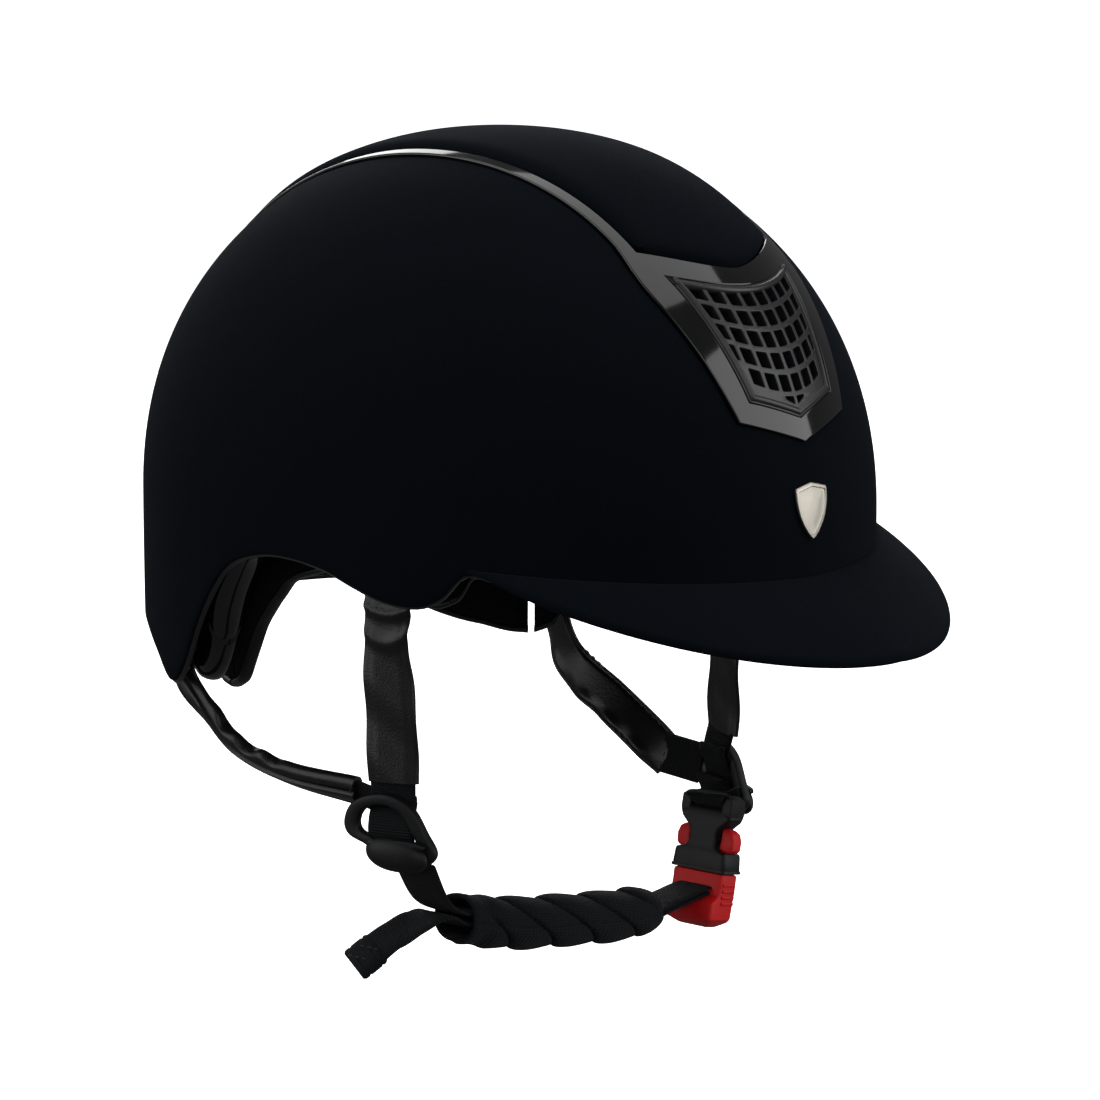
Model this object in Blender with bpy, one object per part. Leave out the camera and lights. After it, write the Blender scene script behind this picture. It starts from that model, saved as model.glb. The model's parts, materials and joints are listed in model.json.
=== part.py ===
"""Equestrian riding helmet: hard shell, peak, vent frame, liner, comfort pads and chin harness.

Metres, +Z up, the front of the helmet faces -Y and the wearer's left is +X.
The origin is the middle of the flat underside of the crown pad, where the head meets it.
"""
import math

import bmesh
import bpy
from mathutils import Vector

# The dome: half axes at the widest line, crown height above that line, and how square it is.
HALF_WIDTH = 0.108
FRONT_LENGTH = 0.131
REAR_LENGTH = 0.133
CROWN_HEIGHT = 0.120
CROWN_SQUARENESS = 2.12
REAR_TUCK_HEIGHT = 0.640
SEAT_HEIGHT = 0.0885  # flat underside of the crown pad above the widest line

# Layers, as depths below the outer surface.
SHELL_THICKNESS = 0.0034
RECESS_DEPTH = 0.0024
LINER_OUTER = 0.0040
LINER_INNER = 0.0210
STRAP_LAYER = 0.0226
PAD_OUTER = 0.0262
PAD_INNER = 0.0308
GAP = 0.0004

# Height of the shell's lower edge in millimetres against the angle from straight ahead in degrees.
RIM = [(0, -17.0), (28, -15.5), (44, -12.0), (53, -8.0), (57, -15.5), (61, -18.8), (67, -17.9),
       (73, -13.8), (79, -9.5), (88, -7.1), (95, -8.2), (102, -12.9), (107, -21.5), (112, -33.6),
       (117, -48.5), (121, -56.0), (124, -56.4), (130, -49.5), (139, -43.0), (160, -39.0), (180, -38.0)]
RIM_BAND = 0.0125  # height of the liner's gloss edge band
FRONT_ANCHOR_ANGLE = 72.0
REAR_ANCHOR_ANGLE = 124.0
ANCHOR_NOTCH = 0.0042  # depth of the edge band's notch for the rear strap
PAD_OVERHANG = 0.0055  # how far the comfort pads show below the shell's edge

# Pieces on the crown, as angles over the top in degrees (0 is the crown, + is forward) and half widths.
FRAME = {"front": (76.8, 73.0), "rear": (-99.0, -92.0), "bend": 1.0,
         "half": [(73, 25.0), (68, 28.0), (62.3, 31.0), (56.6, 33.9), (48.7, 36.7), (40, 35.4),
                  (0, 36.0), (-50, 34.5), (-72, 35.5), (-92, 25.0)]}
PANEL = {"front": (50.2, 43.8), "rear": (-73.0, -68.5), "bend": 1.6,
         "half": [(43.8, 30.6), (34, 30.8), (0, 31.5), (-50, 30.0), (-68.5, 29.5)]}
GRILLE = {"front": (73.4, 70.3), "rear": (53.0, 50.8), "bend": 1.0,
          "half": [(70.3, 19.2), (50.8, 27.2)]}
REAR_GRILLE = {"front": (-76.3, -74.6), "rear": (-95.2, -91.5), "bend": 1.0,
               "half": [(-74.6, 25.5), (-91.5, 18.5)]}
GRILLE_ROWS = (8, 8, 8, 6, 6)
REAR_GRILLE_ROWS = (7, 7, 6, 6)

# Badge on the brow.
BADGE_HALF_WIDTH = 0.0073
BADGE_TOP, BADGE_BOTTOM = 0.0172, 0.0
BADGE_THICKNESS = 0.0014

# Peak: the outer edge as a rounded bow, and its joint line on the shell.
PEAK_HALF_WIDTH = 0.0912
PEAK_ROOT_AHEAD = 0.0690
PEAK_REACH = 0.0995
PEAK_TAIL_HEIGHT = -0.0070
PEAK_TIP_HEIGHT = -0.0345
PEAK_SQUARENESS = 1.782
PEAK_THICKNESS = 0.0030
PEAK_HALF_ANGLE = math.radians(52.3)
PEAK_JOINT_FRONT, PEAK_JOINT_TAIL = -0.0112, -0.0052

# Chin harness.
STRAP_WIDTH = 0.0180
STRAP_THICKNESS = 0.0020
WEBBING_WIDTH = 0.0150
WEBBING_THICKNESS = 0.0014
CHEEK_TURN = math.radians(16.0)
REAR_STRAP_WIDTH = 0.0150
REAR_STRAP_ROUTE = {  # out, ahead, above
    "right": [(0.0880, -0.0560, -0.0675), (0.0845, -0.0400, -0.0800), (0.0820, -0.0150, -0.0855)],
    "left": [(0.0880, -0.0520, -0.0700), (0.0850, -0.0310, -0.0810), (0.0835, -0.0130, -0.0900)]}
RING_THICKNESS = 0.0036
RING_OUTLINE = [(-16.6, 1.9), (-13.8, 7.8), (-6.7, 11.3), (1.4, 11.6), (8.5, 7.8), (13.4, 0.0),
                (16.6, -6.3), (12.7, -10.7), (3.9, -11.6), (-3.2, -9.4), (-8.1, -5.3), (-14.8, -2.5)]
RING_OPENING = 0.62  # size of the ring's opening against its outline
RING_CENTRE = {"right": (0.0820, 0.0270, -0.0960), "left": (0.0855, 0.0210, -0.1040)}
CAM_HALF_WIDTH, CAM_HEIGHT, CAM_THICKNESS = 0.0100, 0.0090, 0.0040
CAM_PIN_RADIUS = 0.0009
BUCKLE_MOUTH = (0.0685, 0.0290, -0.1330)
BUCKLE_LEAN = math.radians(10.2)
BUCKLE_WIDTH, BUCKLE_DEPTH, BUCKLE_LENGTH = 0.0240, 0.0090, 0.0260
SOCKET_WIDTH, SOCKET_DEPTH, SOCKET_LENGTH = 0.0190, 0.0056, 0.0165
ARM_ROOT = 0.0072  # out from the middle of the buckle
RIVET_RADIUS, RIVET_THICKNESS = 0.0036, 0.0006

BLACK = (0.012, 0.014, 0.018)
RED = (0.45, 0.008, 0.010)


def place(out, ahead, above):
    """Point from distances out to the wearer's left, ahead, and above the widest line."""
    return Vector((out, -ahead, above - SEAT_HEIGHT))


def spread(start, end, count):
    return [start + (end - start) * k / (count - 1) for k in range(count)]


def smooth(knots, at):
    """Value at a position on the smooth curve through a list of (position, value) knots."""
    ordered = sorted(knots)
    at = min(max(at, ordered[0][0]), ordered[-1][0])
    index = max(k for k in range(len(ordered) - 1) if ordered[k][0] <= at)
    (x0, y0), (x1, y1) = ordered[index], ordered[index + 1]
    before = ordered[index - 1] if index > 0 else (2 * x0 - x1, 2 * y0 - y1)
    after = ordered[index + 2] if index + 2 < len(ordered) else (2 * x1 - x0, 2 * y1 - y0)
    slope0 = (y1 - before[1]) / (x1 - before[0])
    slope1 = (after[1] - y0) / (after[0] - x0)
    step = x1 - x0
    t = (at - x0) / step
    return ((2 * t**3 - 3 * t**2 + 1) * y0 + (t**3 - 2 * t**2 + t) * step * slope0
            + (3 * t**2 - 2 * t**3) * y1 + (t**3 - t**2) * step * slope1)


def route(points, count, values=None):
    """Evenly counted points on the smooth curve through a route's own points, or values along it."""
    lengths = [0.0]
    for a, b in zip(points, points[1:]):
        lengths.append(lengths[-1] + (b - a).length)
    axes = [[(s, p[k]) for s, p in zip(lengths, values or points)] for k in range(3)]
    return [Vector([smooth(axis, s) for axis in axes]) for s in spread(0, lengths[-1], count)]


def domeLevel(out, ahead, above, depth):
    """Below 1 inside the dome at that depth, above 1 outside it."""
    length = (FRONT_LENGTH if ahead > 0 else REAR_LENGTH) - depth
    flat = math.hypot(out / (HALF_WIDTH - depth), ahead / length)
    if above < 0:
        return math.hypot(flat, above / REAR_TUCK_HEIGHT) if ahead < 0 else flat
    power = CROWN_SQUARENESS
    return (flat**power + (above / (CROWN_HEIGHT - depth)) ** power) ** (1 / power)


def sidePoint(angle, above, depth):
    """Point on the dome at an angle from straight ahead and a height."""
    reach = [0.0, 0.3]
    for _ in range(40):
        middle = sum(reach) / 2
        inside = domeLevel(middle * math.sin(angle), middle * math.cos(angle), above, depth) < 1
        reach[0 if inside else 1] = middle
    return place(reach[0] * math.sin(angle), reach[0] * math.cos(angle), above)


def crownPoint(over, across, depth):
    """Point on the dome at an angle over the top in degrees, and so far across from the middle."""
    ahead, above = math.sin(math.radians(over)), math.cos(math.radians(over))
    reach = [0.0, 0.3]
    for _ in range(40):
        middle = sum(reach) / 2
        inside = domeLevel(across, ahead * middle, above * middle, depth) < 1
        reach[0 if inside else 1] = middle
    return place(across, ahead * reach[0], above * reach[0])


def rimHeight(angle, inside=0.0):
    """Height of the shell's lower edge, or of the line that runs so far inside it."""
    degrees = abs(math.degrees(math.remainder(angle, 2 * math.pi)))
    arc = math.radians(2) * 118.0
    slope = (smooth(RIM, degrees + 1) - smooth(RIM, degrees - 1)) / arc
    return smooth(RIM, degrees) / 1000 + inside * math.hypot(1, slope)


def addPiece(name, build, colour, roughness, metallic=0.0):
    """Object with its own mesh and material, from a function that fills a bmesh."""
    bm = bmesh.new()
    build(bm)
    bmesh.ops.recalc_face_normals(bm, faces=bm.faces)
    mesh = bpy.data.meshes.new(name)
    bm.to_mesh(mesh)
    bm.free()
    material = bpy.data.materials.new(name)
    material.use_nodes = True
    shader = material.node_tree.nodes["Principled BSDF"]
    shader.inputs["Base Color"].default_value = (*colour, 1)
    shader.inputs["Roughness"].default_value = roughness
    shader.inputs["Metallic"].default_value = metallic
    material.diffuse_color = (*colour, 1)
    mesh.materials.append(material)
    mesh.shade_smooth()
    mesh.set_sharp_from_angle(angle=math.radians(35))
    piece = bpy.data.objects.new(name, mesh)
    bpy.context.scene.collection.objects.link(piece)
    return piece


def cutWith(target, cutters):
    for cutter in cutters:
        cutter.hide_render = True
        cutter.display_type = "WIRE"
        modifier = target.modifiers.new(cutter.name, "BOOLEAN")
        modifier.operation = "DIFFERENCE"
        modifier.object = cutter


def stitch(bm, first, second, closed=True):
    for j in range(len(first) if closed else len(first) - 1):
        k = (j + 1) % len(first)
        bm.faces.new((first[j], first[k], second[k], second[j]))


def bar(sections):
    """Closed bar through a list of equal closed sections, with flat ends."""
    def build(bm):
        loops = [[bm.verts.new(p) for p in loop] for loop in sections]
        for first, second in zip(loops, loops[1:]):
            stitch(bm, first, second)
        bm.faces.new(loops[0])
        bm.faces.new(loops[-1])
    return build


def hoop(sections):
    """Endless bar through a list of equal closed sections."""
    def build(bm):
        loops = [[bm.verts.new(p) for p in loop] for loop in sections]
        for first, second in zip(loops, loops[1:] + loops[:1]):
            stitch(bm, first, second)
    return build


def plate(outer, inner):
    """Closed plate between two grids of points."""
    def build(bm):
        over = [[bm.verts.new(p) for p in row] for row in outer]
        under = [[bm.verts.new(p) for p in row] for row in inner]
        for rows in (over, under):
            for low, high in zip(rows, rows[1:]):
                stitch(bm, low, high, closed=False)
        stitch(bm, over[0], under[0], closed=False)
        stitch(bm, over[-1], under[-1], closed=False)
        for column in (0, -1):
            stitch(bm, [row[column] for row in over], [row[column] for row in under], closed=False)
    return build


def cap(outer, inner):
    """Closed bowl between two grids of rings, each ending in one point at the top."""
    def build(bm):
        rings = []
        for grid in (outer, inner):
            rows = [[bm.verts.new(p) for p in row] for row in grid]
            for low, high in zip(rows, rows[1:]):
                stitch(bm, low, high)
            tip = bm.verts.new(sum(grid[-1], Vector()) / len(grid[-1]))
            for j in range(len(rows[-1])):
                bm.faces.new((rows[-1][j], rows[-1][(j + 1) % len(rows[-1])], tip))
            rings.append(rows[0])
        stitch(bm, *rings)
    return build


def block(centre, axes, sizes, taper=1.0):
    """Box on three axes; taper narrows the far end along the last axis."""
    def build(bm):
        ends = []
        for end, share in ((-0.5, 1.0), (0.5, taper)):
            corners = [(-0.5, -0.5), (0.5, -0.5), (0.5, 0.5), (-0.5, 0.5)]
            ends.append([bm.verts.new(centre + axes[0] * sizes[0] * a * share + axes[1] * sizes[1] * b
                                      + axes[2] * sizes[2] * end) for a, b in corners])
        stitch(bm, *ends)
        bm.faces.new(ends[0])
        bm.faces.new(ends[1])
    return build


def rimAngles():
    """Angles right round the helmet, closest together beside the ears."""
    side = spread(0, 50, 8) + spread(54, 70, 5) + spread(75, 99, 4) + spread(102, 127, 11)
    side += spread(132, 174, 5)
    return [math.radians(a) for a in side + [180.0] + [360 - a for a in reversed(side[1:])]]


def bowlGrid(depth, edge, rows):
    """Rings from a lower edge almost to the crown."""
    grid = []
    for share in spread(0, 0.97, rows):
        ring = []
        for angle in rimAngles():
            low = edge(angle)
            start = math.asin(low / CROWN_HEIGHT)
            turned = math.sin(start + (math.pi / 2 - start) * share)
            climb = (turned - math.sin(start)) / (1 - math.sin(start))
            ring.append(sidePoint(angle, low + (CROWN_HEIGHT - depth - low) * climb, depth))
        grid.append(ring)
    return grid


def crownPatch(shape, grow, top, bottom, columns=7, step=8.5):
    """Closed plate on the crown inside a shape, grown by so many metres all round."""
    turn = math.degrees(grow / 0.125)
    front = [a + turn for a in shape["front"]]
    rear = [a - turn for a in shape["rear"]]
    rows = max(3, round((front[1] - rear[1]) / step) + 1)
    grids = []
    for depth in (top, bottom):
        grid = []
        for v in spread(0, 1, rows):
            middle = front[0] + (rear[0] - front[0]) * v
            side = front[1] + (rear[1] - front[1]) * v
            half = smooth(shape["half"], side) / 1000 + grow
            grid.append([crownPoint(middle + (side - middle) * abs(u) ** shape["bend"], half * u, depth)
                         for u in spread(-1, 1, columns)])
        grids.append(grid)
    return plate(*grids)


def ventSlots(owner, top, bottom):
    """Air slots behind both grilles, as cutters."""
    slots = []
    for title, low, high, spots in (("front", 56, 68, (-0.0145, 0.0, 0.0145)),
                                    ("rear", -79, -89, (-0.0100, 0.0100))):
        for number, across in enumerate(spots):
            grids = [[[crownPoint(a, across + 0.0042 * s, depth) for s in (-1, 1)]
                      for a in spread(low, high, 4)] for depth in (top, bottom)]
            slots.append(addPiece(f"{owner}_{title}_slot_{number}", plate(*grids), RED, 1.0))
    return slots


def makeShell():
    bowl = cap(bowlGrid(0.0, rimHeight, 11), bowlGrid(SHELL_THICKNESS, rimHeight, 11))
    shell = addPiece("outer_shell", bowl, BLACK, 0.9)
    channel = addPiece("frame_channel", crownPatch(FRAME, GAP * 1.5, -0.006, RECESS_DEPTH), RED, 1.0)
    cutWith(shell, [channel] + ventSlots("shell", 0.001, SHELL_THICKNESS + 0.003))


def makeFrame():
    """Gloss frame in the shell's channel, with a window for the panel and one for each grille."""
    frame = addPiece("trim_frame", crownPatch(FRAME, 0.0, -0.0006, RECESS_DEPTH - GAP * 1.25),
                     (0.008, 0.008, 0.010), 0.12)
    cutWith(frame, [addPiece(f"{title}_window", crownPatch(shape, GAP, -0.006, 0.008), RED, 1.0)
                    for title, shape in (("panel", PANEL), ("grille", GRILLE),
                                         ("rear_grille", REAR_GRILLE))])


def makePanel():
    addPiece("crown_panel", crownPatch(PANEL, 0.0, -0.0010, RECESS_DEPTH - GAP - 0.0002), BLACK, 0.9)


def patchPoint(shape, u, v, depth):
    """Point of a crown shape: u runs across it from -1 to 1, and v from its front to its rear."""
    middle = shape["front"][0] + (shape["rear"][0] - shape["front"][0]) * v
    side = shape["front"][1] + (shape["rear"][1] - shape["front"][1]) * v
    half = smooth(shape["half"], side) / 1000
    return crownPoint(middle + (side - middle) * abs(u) ** shape["bend"], half * u, depth)


def zipRows(bm, low, high):
    """Triangles between two rows of (place across, vertex) that have different counts."""
    i, j = 0, 0
    while i < len(low) - 1 or j < len(high) - 1:
        nextLow = low[i + 1][0] if i < len(low) - 1 else 9
        nextHigh = high[j + 1][0] if j < len(high) - 1 else 9
        if nextLow <= nextHigh:
            bm.faces.new((low[i][1], low[i + 1][1], high[j][1]))
            i += 1
        else:
            bm.faces.new((low[i][1], high[j + 1][1], high[j][1]))
            j += 1


def makeGrille(name, shape, counts):
    """Plate with rows of openings between slim bars."""
    margin, gutter = 0.10, 0.20
    inner = 1 - 2 * margin
    lines = []  # each line across: its v, the u of its points, and whether openings start above it
    for row, count in enumerate(counts):
        across = [-1.0]
        for column in range(count):
            across.append(-1 + 2 * (margin + inner * (column + gutter / 2) / count))
            across.append(-1 + 2 * (margin + inner * (column + 1 - gutter / 2) / count))
        across.append(1.0)
        for share, opens in ((row + gutter / 2, True), (row + 1 - gutter / 2, False)):
            lines.append((margin + inner * share / len(counts), across, opens))
    edge = spread(-1, 1, 9)
    lines = [(0.0, edge, False)] + lines + [(1.0, edge, False)]

    def build(bm):
        skins = []
        for depth in (0.0004, RECESS_DEPTH - GAP - 0.0002):
            skins.append([[(u, bm.verts.new(patchPoint(shape, u, v, depth))) for u in across]
                          for v, across, _ in lines])
        for skin in skins:
            for k, (_, _, opens) in enumerate(lines[:-1]):
                low, high = skin[k], skin[k + 1]
                if not opens:
                    zipRows(bm, low, high)
                    continue
                for j in range(0, len(low), 2):
                    bm.faces.new((low[j][1], low[j + 1][1], high[j + 1][1], high[j][1]))
        over, under = [[[vert for _, vert in row] for row in skin] for skin in skins]
        for column in (0, -1):
            stitch(bm, [row[column] for row in over], [row[column] for row in under], closed=False)
        stitch(bm, over[0], under[0], closed=False)
        stitch(bm, over[-1], under[-1], closed=False)
        for k, (_, across, opens) in enumerate(lines):
            for j in range(1, len(across) - 1, 2) if opens else ():
                corners = [(k, j), (k, j + 1), (k + 1, j + 1), (k + 1, j)]
                stitch(bm, [over[r][c] for r, c in corners], [under[r][c] for r, c in corners])
    addPiece(name, build, (0.045, 0.045, 0.05), 0.45)


def makeBadge():
    """Plain shield on the brow: straight top, full sides and a point below."""
    outline = [(0.0, 1.0), (1.0, 0.93), (0.97, 0.45), (0.72, 0.20), (0.0, 0.0)]
    half = outline + [(-w, v) for w, v in reversed(outline[1:-1])]

    def build(bm):
        loops = []
        for depth in (-GAP, -GAP - BADGE_THICKNESS):
            loops.append([bm.verts.new(sidePoint(math.asin(w * BADGE_HALF_WIDTH / FRONT_LENGTH),
                                                 BADGE_BOTTOM + (BADGE_TOP - BADGE_BOTTOM) * v, depth))
                          for w, v in half])
        stitch(bm, *loops)
        bm.faces.new(loops[0])
        bm.faces.new(loops[1])
    addPiece("badge", build, (0.62, 0.60, 0.54), 0.25, 1.0)


def peakEdge(share):
    """Outer edge of the peak, from one tail (-1) over the tip (0) to the other tail (1)."""
    turn = share * math.pi / 2
    power = 2 / PEAK_SQUARENESS
    out = PEAK_HALF_WIDTH * math.copysign(abs(math.sin(turn)) ** power, share)
    ahead = PEAK_ROOT_AHEAD + PEAK_REACH * abs(math.cos(turn)) ** power
    above = PEAK_TAIL_HEIGHT + (PEAK_TIP_HEIGHT - PEAK_TAIL_HEIGHT) * abs(math.cos(turn)) ** 1.16
    return place(out, ahead, above - 0.0019 * math.sin(2 * abs(turn)))


def makePeak():
    """Peak from its joint line on the shell to its rounded outer edge."""
    top, bottom = [], []
    for share in spread(-0.985, 0.985, 27):
        angle = share * PEAK_HALF_ANGLE
        joint = PEAK_JOINT_FRONT + (PEAK_JOINT_TAIL - PEAK_JOINT_FRONT) * abs(share) ** 1.4
        root = sidePoint(angle, joint, -0.0005)
        edge = peakEdge(share) + Vector((0, 0, PEAK_THICKNESS * 0.6))
        reach = (edge - root).length
        thickness = min(PEAK_THICKNESS, 0.0016 + reach * 0.1)
        bow = 0.06 * reach
        over, under = [], []
        for t in (0, 0.2, 0.45, 0.7, 0.88, 0.97, 1.0):
            spot = root.lerp(edge, t) + Vector((0, 0, bow * 4 * t * (1 - t)))
            rounding = math.sqrt(max(0.0, 1 - max(0.0, (t - 0.9) / 0.1) ** 2)) * 0.7 + 0.3
            over.append(spot - Vector((0, 0, thickness * 0.5 * (1 - rounding))))
            under.append(spot - Vector((0, 0, thickness * (1 - 0.5 * (1 - rounding)))))
        top.append(over)
        bottom.append(under)
    addPiece("peak", plate(top, bottom), BLACK, 0.9)


def notchShare(angle):
    """1 where the rear strap passes between the shell and the edge band, 0 away from there."""
    degrees = abs(math.degrees(math.remainder(angle, 2 * math.pi)))
    return min(1.0, max(0.0, (13.0 - abs(degrees - REAR_ANCHOR_ANGLE)) / 5.0))


def makeLiner():
    """Foam liner inside the shell, above its gloss edge band."""
    def edge(angle):
        return rimHeight(angle, RIM_BAND) + GAP * 2.5
    liner = addPiece("impact_liner", cap(bowlGrid(LINER_OUTER, edge, 8), bowlGrid(LINER_INNER, edge, 8)),
                     (0.03, 0.03, 0.033), 0.8)
    cutWith(liner, ventSlots("liner", 0.002, LINER_INNER + 0.004))

    section = [(0.0, 0.0125), (0.0, 0.0050), (0.13, 0.0012), (0.34, -0.0004),
               (0.65, -0.0002), (0.87, 0.0022), (1.0, 0.0062), (1.0, 0.0125)]
    loops = []
    for angle in rimAngles():
        outer = LINER_OUTER + ANCHOR_NOTCH * notchShare(angle)
        loops.append([sidePoint(angle, rimHeight(angle, inside), outer + (LINER_INNER - outer) * across)
                      for across, inside in section])
    addPiece("liner_edge_band", hoop(loops), (0.008, 0.008, 0.010), 0.1)


def makePad(name, start, end, top, count):
    """Comfort pad along the inside of the liner, from one angle to another in degrees."""
    loops = []
    for degrees in spread(start, end, count):
        angle = math.radians(degrees)
        low = rimHeight(angle, -PAD_OVERHANG)
        thick = PAD_INNER - PAD_OUTER
        section = [(PAD_OUTER, 0.06), (PAD_OUTER, 0.94), (PAD_OUTER + thick * 0.5, 1.0),
                   (PAD_INNER, 0.94), (PAD_INNER, 0.06), (PAD_OUTER + thick * 0.5, 0.0)]
        loops.append([sidePoint(angle, low + (top - low) * share, depth) for depth, share in section])
    addPiece(name, bar(loops), (0.02, 0.02, 0.024), 0.95)


def makeCrownPad():
    """Cushion under the crown with a flat underside that rests on the head."""
    half, length = 0.0330, 0.0430
    loops = []
    for share, lift in ((0.90, 0.0), (1.0, 0.0012), (0.97, 0.45), (0.72, 0.82), (0.4, 0.96)):
        ring = []
        for angle in spread(0, 2 * math.pi, 25)[:-1]:
            out, ahead = half * share * math.sin(angle), length * share * math.cos(angle)
            above = SEAT_HEIGHT + lift
            if lift > 0.01:
                ceiling = CROWN_HEIGHT - LINER_INNER - 0.0008
                flat = math.hypot(out / (HALF_WIDTH - 0.0218), ahead / (FRONT_LENGTH - 0.0218))
                ceiling *= (1 - flat**CROWN_SQUARENESS) ** (1 / CROWN_SQUARENESS)
                above = SEAT_HEIGHT + 0.0012 + (ceiling - SEAT_HEIGHT - 0.0016) * min(1, lift)
            ring.append(place(out, ahead, above))
        loops.append(ring)
    addPiece("crown_pad", bar(loops), (0.02, 0.02, 0.024), 0.95)


def ribbon(name, points, acrosses, width, thickness, count, colour, roughness):
    """Flat strap along a route; acrosses gives the direction of its width at each route point."""
    line = route(points, count)
    sides = route(points, count, acrosses)
    loops = []
    for k, spot in enumerate(line):
        ahead = line[min(k + 1, count - 1)] - line[max(k - 1, 0)]
        side = (sides[k] - ahead * (sides[k].dot(ahead) / ahead.dot(ahead))).normalized() * width / 2
        face = side.cross(ahead).normalized() * thickness / 2
        loops.append([spot + side + face, spot - side + face, spot - side - face, spot + side - face])
    return addPiece(name, bar(loops), colour, roughness)


def cheek(side):
    """Side's sign, outward normal and forward width direction of a cheek."""
    sign = 1 if side == "left" else -1
    normal = Vector((sign * math.cos(CHEEK_TURN), -math.sin(CHEEK_TURN), 0))
    across = Vector((-sign * math.sin(CHEEK_TURN), -math.cos(CHEEK_TURN), 0))
    return sign, normal, across


def ringCentre(side):
    out, ahead, above = RING_CENTRE[side]
    return place(out if side == "left" else -out, ahead, above)


def makeStraps(side):
    """Covered front and rear straps from the liner to the ring, and their webbing ends."""
    sign, _, across = cheek(side)
    centre = ringCentre(side)
    top = centre + Vector((0, 0, 0.0122))
    turn = sign * math.radians(FRONT_ANCHOR_ANGLE)
    depth = STRAP_LAYER + STRAP_THICKNESS / 2
    along = (sidePoint(turn + 0.1, 0.0, depth) - sidePoint(turn - 0.1, 0.0, depth)).normalized() * sign
    low = sidePoint(turn, -0.022, depth)
    front = [sidePoint(turn, 0.004, depth), low, low.lerp(top, 0.4), top + Vector((0, 0, 0.0068))]
    ribbon(f"front_strap_{side}", front, [along, along, -across, -across], STRAP_WIDTH, STRAP_THICKNESS,
           12, (0.02, 0.02, 0.022), 0.35)
    ribbon(f"front_webbing_{side}", [top + Vector((0, 0, 0.0052)), top + Vector((0, 0, 0.0004))],
           [-across, -across], WEBBING_WIDTH, WEBBING_THICKNESS, 2, BLACK, 0.8)

    turn = sign * math.radians(REAR_ANCHOR_ANGLE)
    depth = LINER_OUTER + GAP + STRAP_THICKNESS / 2
    base = (sidePoint(turn + 0.1, -0.05, depth) - sidePoint(turn - 0.1, -0.05, depth)).normalized() * sign
    corner = centre + across * -0.0180 + Vector((0, 0, 0.0060))
    fold = Vector((sign * 0.45, 0.10, 0.88))
    end = Vector((sign * 0.20, 0.10, 0.95))
    rear = [sidePoint(turn, -0.0468, depth), sidePoint(turn, -0.0585, depth + 0.0008)]
    rear += [place(sign * out, ahead, above) for out, ahead, above in REAR_STRAP_ROUTE[side]]
    rear.append(corner - across * 0.0068)
    sides = [base, base, (base + fold).normalized(), fold, fold, end]
    ribbon(f"rear_strap_{side}", rear, sides, REAR_STRAP_WIDTH, STRAP_THICKNESS, 16,
           (0.02, 0.02, 0.022), 0.3)
    ribbon(f"rear_webbing_{side}", [corner - across * 0.0050, corner - across * 0.0003], [end, end],
           WEBBING_WIDTH * 0.8, WEBBING_THICKNESS, 2, BLACK, 0.8)


def makeRivets(side):
    """Rivet heads that hold the strap ends, on the inner face of the straps."""
    sign = 1 if side == "left" else -1
    for title, degrees, above, layer in (("front", FRONT_ANCHOR_ANGLE, -0.001, STRAP_LAYER),
                                         ("rear", REAR_ANCHOR_ANGLE, -0.0515, LINER_OUTER + GAP)):
        turn = sign * math.radians(degrees)
        centre = sidePoint(turn, above, layer + STRAP_THICKNESS + 0.0009)
        step = (sidePoint(turn + 0.05, above, layer) - sidePoint(turn - 0.05, above, layer)).normalized()
        rise = Vector((0, 0, 1))
        inward = step.cross(rise)
        inward *= -1 if inward.x * centre.x + inward.y * centre.y > 0 else 1
        loops = []
        for lift, radius in ((0.0, RIVET_RADIUS), (RIVET_THICKNESS, RIVET_RADIUS * 0.8)):
            loops.append([centre + inward * lift + step * radius * math.cos(t) + rise * radius * math.sin(t)
                          for t in spread(0, 2 * math.pi, 13)[:-1]])
        addPiece(f"strap_rivet_{title}_{side}", bar(loops), (0.35, 0.35, 0.36), 0.35, 1.0)


def hang(pieces, name, axisPoint):
    """Parent moving pieces to an empty on their joint's axis, and leave them where they are."""
    pivot = bpy.data.objects.new(name, None)
    pivot.location = axisPoint
    bpy.context.scene.collection.objects.link(pivot)
    for piece in pieces:
        piece.parent = pivot
        piece.matrix_parent_inverse = pivot.matrix_basis.inverted()


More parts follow.
